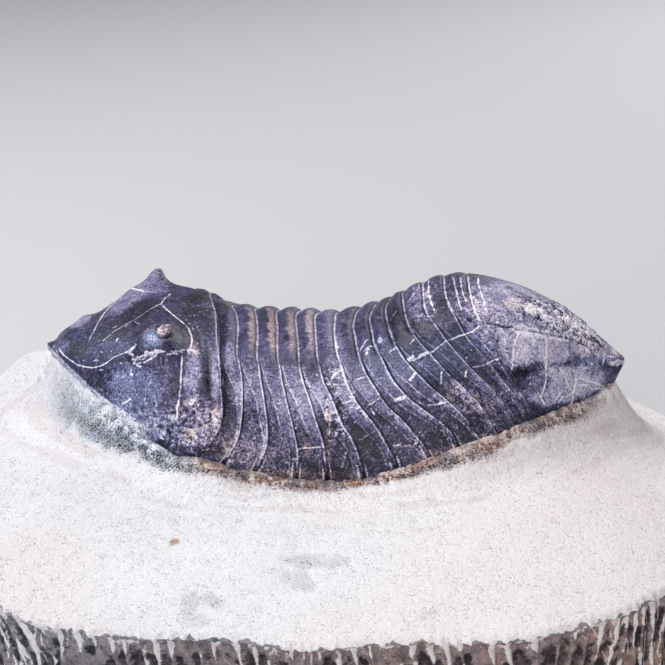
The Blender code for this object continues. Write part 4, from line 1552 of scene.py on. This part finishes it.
def rock_top_points(angle, start, lip, share):
    """Points and masks of the top's rings: share counts the near, the middle and the rim's band."""
    ragged = rim_line_radius(angle)
    whole = rim_radius(angle) - start
    near_band = np.minimum(NEAR_BAND, 0.4 * whole)
    rim_band = np.minimum(RIM_BAND, 0.3 * whole)
    away = -INSIDE + (near_band + INSIDE) * np.clip(share, 0, 1) ** 1.25
    away = away + (ragged - start - near_band - rim_band) * np.clip(share - 1, 0, 1)
    away = away + rim_band * (1 - (1 - np.clip(share - 2, 0, 1)) ** 1.3)
    radius = start + away
    x, y = radius * np.cos(angle), radius * np.sin(angle)
    east = np.cos(angle)
    flank = FLANK_SIDE + (FLANK_SNOUT - FLANK_SIDE) * np.clip(-east, 0, 1) ** 8
    flank = flank + (FLANK_TAIL - FLANK_SIDE) * np.clip(east, 0, 1) ** 8
    field = field_height(x, y)
    climb = np.exp(-((np.clip(away, 0, None) / flank) ** FLANK_POWER))
    z = field + (lip - field) * climb
    z = z - np.clip(-away - DIP_START, 0, None) * DIP_SLOPE
    to_rim = ragged - radius
    z = z - RIM_BEVEL * np.clip(1 - to_rim / (1.5 * RIM_BEVEL), 0, 1) ** 2

    flat = np.stack([x, y, np.zeros_like(x)], axis=-1)
    brush = np.stack([angle * 7 * MM, away, np.zeros_like(x)], axis=-1)
    steep = climb * (1 - climb) * 4
    upright = np.stack([x, y, 1.3 * z], axis=-1)
    gritty = rough(upright, 1.7 * MM, 97, octaves=3, gain=0.75)
    z = z + 0.3 * MM * rough(flat, 14 * MM, 91, octaves=3) + 0.14 * MM * gritty
    z = z + 0.16 * MM * bell(away - 8 * MM, 8 * MM) * noise(brush, 1.3 * MM, 95)
    z = z + 0.3 * MM * steep * gritty
    crumbly = rough(upright, 1.5 * MM, 99, octaves=3, gain=0.8)
    slow = noise(flat, 4.5 * MM, 105)
    beside_shell = soft_fall(away - 0.8 * MM * slow, 1.5 * MM, 2.6 * MM)
    crusty = beside_shell * soft_step(crumbly + 0.4 * slow, 0.0, 0.35)
    z = z + 0.55 * MM * beside_shell * (crumbly + 0.5 * slow) - 0.3 * MM * bell(away - 2.4 * MM, 0.5 * MM)
    points = np.stack([x, y, z], axis=-1)

    fall, pixels = flank_share(points)
    wobble = rough(flat, 4 * MM, 101, octaves=4, gain=0.6)
    column = pixels[..., 0]
    head_side = soft_fall(column, *HEAD_FLANK)
    on_flank = soft_fall(fall + 0.4 * wobble, 0.62 + 0.14 * head_side, 1.3 - 0.1 * head_side)
    on_flank = on_flank * (soft_step(column, *FLANK_LEFT) * soft_fall(column, *FLANK_RIGHT))
    on_flank = on_flank * soft_fall(away - 2 * MM * wobble, 10 * MM, 15 * MM)
    low = bell(fall - 0.72, 0.4)
    pale_snout = soft_fall(column, *PALE_SNOUT)
    under_tail = bell(column - UNDER_TAIL, UNDER_TAIL_WIDTH)
    grain = on_flank * (0.35 + 0.65 * low + 0.4 * head_side * low) * (1 - 0.7 * pale_snout)
    tight = bell(fall - 0.25, 0.45) * (fall > -0.6)
    smudge = np.zeros_like(x)
    rust = np.zeros_like(x)
    for mask, patches in ((smudge, SMUDGES), (rust, RUST_SPOTS)):
        for patch in patches:
            flatwise = ellipse(pixels.reshape(-1, 2), patch, 1.6 * wobble.ravel()).reshape(x.shape)
            np.maximum(mask, flatwise * (y < 0), out=mask)
    edge_noise = rough(flat, 2.6 * MM, 103, octaves=3, gain=0.7)
    broken = soft_fall(to_rim - 1.0 * MM * edge_noise, -0.15 * MM, 0.35 * MM)
    fair_right = soft_step(x, -20 * MM, 90 * MM)
    fair_left = soft_fall(x, -80 * MM, -10 * MM)
    back_left = soft_fall(x, -85 * MM, -60 * MM) * soft_step(y, -20 * MM, 10 * MM)
    # Painted shadow: a dark line where rock meets shell, and darker hollows in the crumbly crust beside it.
    shaded_crevice = np.maximum(bell(away, 0.35 * MM), beside_shell * soft_fall(crumbly, -0.3, 0.1))
    shaded_crevice = shaded_crevice * (1 - 0.8 * pale_snout)
    # Painted shadow on the flank: darker low down, next to the shell and under the tail.
    near_edge = (0.4 * tight + 0.2 * under_tail) * (1 - head_side)
    flank_shadow = on_flank * ((0.3 + 0.12 * head_side) * low + near_edge + 0.1)
    ochre = beside_shell * soft_step(slow, -0.3, 0.4) * soft_step(column, *OCHRE_START)
    streaks = soft_step(noise(brush, 1.6 * MM, 107) + 0.4 * wobble, 0.1, 0.6) * bell(away - 7 * MM, 9 * MM)
    tint = soft_step(noise(flat, 22 * MM, 109) + 0.3 * wobble, -0.3, 0.6)
    # Painted shadow together with real stains: the smudges and rust spots, and painted darkening at the back
    # left and on the left; the brush streaks and the right side are a little darker too.
    shade_and_stains = np.maximum(flank_shadow, 0.35 * smudge + 0.8 * rust) + 0.55 * shaded_crevice
    shade_and_stains = shade_and_stains + 0.1 * back_left + 0.17 * fair_left + 0.12 * streaks + 0.05 * fair_right
    pink = 0.6 * fair_right + 0.3 * tint + 0.3 * streaks
    colours = {
        "steel": on_flank * head_side * 0.6,
        "clay": np.maximum(on_flank * (1 - head_side) * 0.75, pink),
        "rust": np.maximum(rust * (1.1 + 0.8 * wobble), 0.5 * ochre),
        "grain": np.maximum(grain, 0.3 * smudge),
        "shade_and_stains": shade_and_stains,
        "broken": broken,
        "ridge": crusty * (1 - 0.5 * pale_snout),
    }
    return points, {name: np.clip(value, 0, 1) for name, value in colours.items()}


print("rock colours:", ", ".join(ROCK_COLOURS))

# %% [markdown]
# ## The stone of the block
# The same tones serve the pale top and the dark split wall: masks choose how light the tone is, how
# many dark grains it holds, and whether it is greenish, brownish or grey.

# %% Rock material
def make_rock_material():
    """The top's tone and the broken wall's, mixed by a mask, then four hues of that tone."""
    material, tree, shader = new_material("matrix_rock")
    slow = place_group(tree, MOTTLE, Scale=22.0, Low=0.35, High=0.65)
    middle = place_group(tree, MOTTLE, Scale=380.0, Low=0.32, High=0.68)
    quick = place_group(tree, MOTTLE, Scale=2100.0, Low=0.28, High=0.72)
    masks = {name: attribute(tree, name) for name in ROCK_COLOURS}
    pits = ramp(tree, weighted(tree, 0.0, (quick, 0.75), (middle, 0.25)), 0.36, 0.18)
    threshold = weighted(tree, 0.26, (masks["grain"], 0.42))
    grains = less(tree, 1.0, ramp(tree, quick, less(tree, threshold, 0.3), threshold))
    grains = times(tree, grains, ramp(tree, masks["grain"], 0.05, 0.5))
    tone = weighted(tree, 0.88, (slow, 0.04), (quick, 0.09), (pits, -0.22))
    tone = weighted(tree, tone, (grains, -0.3), (masks["shade_and_stains"], -0.42), (masks["ridge"], 0.22))
    # Painted shadow: the wall is drawn darkest in its deep chisel grooves.
    gaps = ramp(tree, weighted(tree, 0.0, (masks["shade_and_stains"], 0.8), (middle, -0.4)), 0.05, 0.4)
    wall = weighted(tree, 0.3, (middle, 0.26), (quick, 0.16), (gaps, -0.27))
    ridge = ramp(tree, weighted(tree, -0.2, (masks["ridge"], 1.0), (quick, 0.4)), 0.2, 0.6)
    wall = weighted(tree, wall, (ridge, 0.45))
    share = ramp(tree, weighted(tree, -0.2, (masks["broken"], 1.0), (quick, 0.4)), 0.3, 0.6)
    tone = weighted(tree, tone, (times(tree, share, less(tree, wall, tone)), 1.0))
    colour = place_group(tree, TONES["grey"], Tone=tone)
    for hue in ("steel", "clay", "rust"):
        patchy = times(tree, masks[hue], weighted(tree, 0.6, (middle, 0.6)))
        colour = mix_colour(tree, patchy, colour, place_group(tree, TONES[hue], Tone=tone))
    tree.links.new(colour, shader.inputs["Base Color"])
    shader.inputs["Roughness"].default_value = 0.85
    shader.inputs["Specular IOR Level"].default_value = 0.3
    add_bump(tree, shader, weighted(tree, 0.0, (middle, 0.5), (quick, 0.5)), 0.45 * MM, 0.8)
    return material


ROCK_MATERIAL = make_rock_material()
print("rock material has", len(ROCK_MATERIAL.node_tree.nodes), "nodes")

# %% [markdown]
# ## Rings that close on themselves
# The block is built of rings that run once round it. The last point of a ring meets the first, so no
# seam is left, and hidden rings inside lead back from the last visible one, which closes the piece.

# %% Ring meshes
RINGS = 42
DOWN = [0.0, 0.0, -1.0]


def ring_faces(rows, columns, first=0):
    """The quads of rings whose last column meets the first."""
    corner = first + np.arange((rows - 1) * columns).reshape(rows - 1, columns)
    beside = first + (np.arange(rows - 1)[:, None] * columns + np.roll(np.arange(columns), -1)[None, :])
    return np.stack([corner, corner + columns, beside + columns, beside], axis=-1).reshape(-1, 4)


def wrapped_normals(rings):
    """Normals of a grid of rings whose last column meets the first."""
    padded = np.concatenate([rings[:, -1:], rings, rings[:, :1]], axis=1)
    return normals_of(padded)[:, 1:-1]


def make_rings(name, rings, normals, masks, hidden, hidden_normal, capped=False):
    """A closed piece: visible rings, then hidden ones that lead back to the first or to two caps.

    Its shading normals are those of the whole surface, so no line shows where two pieces meet.
    """
    every = np.concatenate([rings, hidden])
    rows, last_row = len(rings), (len(every) - 1) * SPOKES
    quads = [ring_faces(len(hidden) + 1, SPOKES, first=(rows - 1) * SPOKES)]
    wrap, following = np.arange(SPOKES), np.roll(np.arange(SPOKES), -1)
    caps = []
    if capped:
        caps = [wrap[::-1], last_row + wrap]
    else:
        quads.append(np.stack([last_row + wrap, wrap, following, last_row + following], axis=-1))
    kept = [*range(rows), *[rows - 1] * len(hidden)]
    colours = {label: mask[kept].ravel() for label, mask in masks.items()}
    visible, quads = ring_faces(rows, SPOKES), np.concatenate(quads)
    piece = make_piece(name, every.reshape(-1, 3), visible, quads, caps, colours, ROCK_MATERIAL)
    aside = np.broadcast_to(hidden_normal, hidden.shape)
    every_normal = np.concatenate([normals, aside]).reshape(-1, 3)
    piece.data.normals_split_custom_set_from_vertices(every_normal.tolist())
    return piece


print("each visible surface has", RINGS, "rings of", SPOKES, "points")

# %% [markdown]
# ## The three pieces of the top
# One table of points covers the whole top. Each piece takes its band of rings from it and shares a
# ring with its neighbour, so that the surface goes on across them without a line.

# %% Make the rock's top
top_share = np.linspace(0, 3, 3 * RINGS - 2)[:, None]
per_spoke = (np.broadcast_to(values, (len(top_share), SPOKES)) for values in (spoke, spoke_start, spoke_lip))
top_points, top_colours = rock_top_points(*per_spoke, top_share)
top_normals = wrapped_normals(top_points)
rim_line = top_points[-1]
# Each piece's name, and the rings that its hidden side hangs under, with their depths
TOP_PIECES = [
    ("rock_near", [(34, 1.5 * MM), (20, 4 * MM), (8, 2 * MM)]),
    ("rock_field", [(36, 1.5 * MM), (20, 4 * MM), (5, 1.5 * MM)]),
    ("rock_rim", [(20, 1.2 * MM), (10, 3 * MM), (4, 2 * MM)]),
]
rock_pieces = []
for number, (name, below) in enumerate(TOP_PIECES):
    rows = slice(number * (RINGS - 1), number * (RINGS - 1) + RINGS)
    rings = top_points[rows]
    masks = {label: mask[rows] for label, mask in top_colours.items()}
    hidden = np.stack([rings[row] - np.array([0, 0, depth]) for row, depth in below])
    rock_pieces.append(make_rings(name, rings, top_normals[rows], masks, hidden, DOWN))
print("pieces of the top:", [piece.name for piece in rock_pieces])

# %% [markdown]
# ## The rock's wall
# The wall hangs from the same rim line as the top and runs down along the chisel strokes. Pale
# ridges and fine hairlines mark it, and its colour drifts from one end of the block to the other.

# %% Points and masks of the rock's wall
WALL_ROWS = 2 * RINGS - 1
WALL_CROWDING = 1.3  # the power by which rows crowd towards the rim
HAIRLINE_WIDTH = 1.9 * MM
HAIRLINE_LEAN = 90  # hairlines passed per metre of height


def rock_wall_points():
    """The wall from the rim line down to the underside's bevel, and its masks."""
    share = np.linspace(0, 1, WALL_ROWS)[:, None] ** WALL_CROWDING
    angle = np.broadcast_to(spoke, (WALL_ROWS, SPOKES))
    top = np.broadcast_to(rim_line[:, 2], (WALL_ROWS, SPOKES))
    height = top + (UNDERSIDE_BEVEL - top) * share
    depth, ridge = strokes(angle, height)
    place = around(angle, rim_radius(angle), height)
    stone = rough(place, 5 * MM, 81, octaves=4, gain=0.62)
    gritty = rough(place, 1.6 * MM, 83, octaves=2, gain=0.7)
    lean = WALL_LEAN * (1 - height / top)
    radius = rim_radius(angle) - RIM_INSET - lean - STROKE_DEPTH * depth * (0.8 + 0.3 * stone)
    radius = radius - 0.9 * MM * np.clip(0.4 - stone, 0, 1) + 0.2 * MM * gritty
    rim = np.hypot(rim_line[:, 0], rim_line[:, 1])
    join = soft_step(top - height, 0, 1.5 * MM)
    radius = np.minimum(rim * (1 - join) + radius * join, rim_radius(angle))
    below = top - height
    long_noise = rough(place * np.array([1, 1, 0.45]), 3 * MM, 85, octaves=3, gain=0.6)
    fine_run = np.interp(angle, RIM_ANGLE, RIM_RUN) / HAIRLINE_WIDTH
    fine_run = fine_run + 1.5 * noise(place, 6 * MM, 89) + HAIRLINE_LEAN * height
    hairline = np.abs(2 * (fine_run - np.floor(fine_run)) - 1)
    at_ends = soft_step(np.abs(place[..., 0]), 50 * MM, 80 * MM)
    taper = (0.32 - 0.2 * at_ends) * soft_step(below, 1 * MM, 8 * MM)
    ridge = soft_step(ridge + 0.35 * long_noise + 0.25 * noise(place, 8 * MM, 90) - taper, 0.66, 0.86)
    ridge = ridge * soft_step(long_noise, -0.2, 0.1)
    hairline = soft_step(hairline + 0.5 * long_noise, 0.72, 0.95) * (0.35 + 0.65 * at_ends) * 0.8
    ridge = np.maximum(ridge, hairline)
    crumbs = soft_step(gritty + 0.5 * stone, 0.0, 0.5) * np.exp(-below / (2 * MM))
    masks = {
        "steel": soft_fall(place[..., 0] - 30 * MM * stone, -75 * MM, -20 * MM),
        "clay": np.clip(0.55 + 0.5 * soft_step(place[..., 0], -30 * MM, 40 * MM) + 0.4 * stone, 0, 1),
        "rust": 0.7 * soft_step(place[..., 0], 0 * MM, 80 * MM) * soft_step(stone, -0.1, 0.3),
        "grain": np.zeros_like(ridge),
        # Painted shadow in the deep chisel grooves
        "shade_and_stains": depth * soft_step(below, 1 * MM, 5 * MM) * soft_fall(stone, -0.2, 0.3),
        "broken": np.ones_like(ridge),
        "ridge": np.maximum(ridge * (1 - 0.4 * soft_step(below, 10 * MM, 22 * MM)), crumbs),
    }
    return around(angle, radius, height), masks


print("the wall has", WALL_ROWS, "rings")

# %% [markdown]
# ## The wall's two pieces
# An upper and a lower piece share the wall's middle ring. The lower one is closed by the flat
# underside, on which the block stands.

# %% Make the rock's wall
wall_points, wall_masks = rock_wall_points()
wall_normals = wrapped_normals(wall_points)


def wall_ring(row, inset, fall=0.0):
    """A ring inside the wall: one of its rows, moved inwards and down."""
    radius = np.hypot(wall_points[row, :, 0], wall_points[row, :, 1]) - inset
    return around(spoke, radius, wall_points[row, :, 2] - fall)


INNER_RINGS = [(RINGS - 1, 5 * MM, 0.0), (RINGS // 2, 7 * MM, 0.0), (0, 6 * MM, 3 * MM)]
UNDERSIDE_INSETS = MM * np.array([1.5, 12, 40])

rows = slice(0, RINGS)
rings, normals = wall_points[rows], wall_normals[rows]
masks = {label: mask[rows] for label, mask in wall_masks.items()}
hidden = np.stack([wall_ring(*ring) for ring in INNER_RINGS])
inwards = -around(spoke, np.ones(SPOKES), np.zeros(SPOKES))
rock_pieces.append(make_rings("rock_wall", rings, normals, masks, hidden, inwards))

rows = [RINGS - 1, *range(RINGS - 1, WALL_ROWS)]
rings, normals = wall_points[rows], wall_normals[rows]
rings[0] = wall_ring(RINGS - 1, 6 * MM)
masks = {label: mask[rows] for label, mask in wall_masks.items()}
foot = np.hypot(wall_points[-1, :, 0], wall_points[-1, :, 1])
hidden = np.stack([around(spoke, foot - inset, np.zeros(SPOKES)) for inset in UNDERSIDE_INSETS])
rock_pieces.append(make_rings("rock_foot", rings, normals, masks, hidden, DOWN, capped=True))
print("rock pieces:", [piece.name for piece in rock_pieces])

# %% [markdown]
# ## What each piece stands for
# The head, the segments and the tail stand for the fossil's solid, and the five rock pieces for the
# block's. All of them ride on the one body that the object has.

# %% Tie the pieces to the solids
for piece in (head, thorax, tail):
    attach(piece, "root")
    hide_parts("trilobite")
for piece in rock_pieces:
    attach(piece, "root")
    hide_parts("matrix")
print("pieces:", [piece.name for piece in (head, thorax, tail, *rock_pieces)])

# %% [markdown]
# ## Floor and light
# A plain pale floor, a large soft light high on the left, a weaker one from the front and a soft
# one from behind, as in a small studio.

# %% Floor and lights
def add_light(name, place, aim, side, power, colour=(1, 1, 1)):
    """A square area light at a place, turned to face another."""
    data = bpy.data.lights.new(name, "AREA")
    data.shape = "SQUARE"
    data.size = side
    data.energy = power
    data.color = colour
    light = bpy.data.objects.new(name, data)
    light.location = place
    direction = np.array(aim, float) - np.array(place, float)
    direction /= np.linalg.norm(direction)
    turn = np.arctan2(direction[1], direction[0])
    light.rotation_euler = (np.arccos(-direction[2]), 0, turn - np.pi / 2)
    bpy.context.scene.collection.objects.link(light)
    return light


FLOOR_SIDE = 30.0
floor_mesh = bpy.data.meshes.new("floor")
half = FLOOR_SIDE / 2
corners = [(-half, -half, 0), (half, -half, 0), (half, half, 0), (-half, half, 0)]
floor_mesh.from_pydata(corners, [], [(0, 1, 2, 3)])
floor = bpy.data.objects.new("floor", floor_mesh)
bpy.context.scene.collection.objects.link(floor)
floor_material, _, floor_shader = new_material("floor")
floor_shader.inputs["Base Color"].default_value = (0.5, 0.5, 0.51, 1)
floor_shader.inputs["Roughness"].default_value = 0.9
floor_mesh.materials.append(floor_material)

BODY_MIDDLE = (0, 0, 0.05)
add_light("key", (-0.45, 0.1, 0.85), BODY_MIDDLE, 0.5, 9)
add_light("fill", (-0.2, -0.9, 0.4), BODY_MIDDLE, 0.6, 5)
add_light("back", (0.5, 0.8, 0.5), BODY_MIDDLE, 0.5, 4)
world = bpy.data.worlds.new("studio")
world.use_nodes = True
world.node_tree.nodes["Background"].inputs["Color"].default_value = (0.9, 0.92, 1, 1)
world.node_tree.nodes["Background"].inputs["Strength"].default_value = 0.25
bpy.context.scene.world = world
bpy.context.scene.view_settings.view_transform = "Standard"
bpy.context.scene.view_settings.look = "None"
print("lights:", [light.name for light in bpy.data.lights])
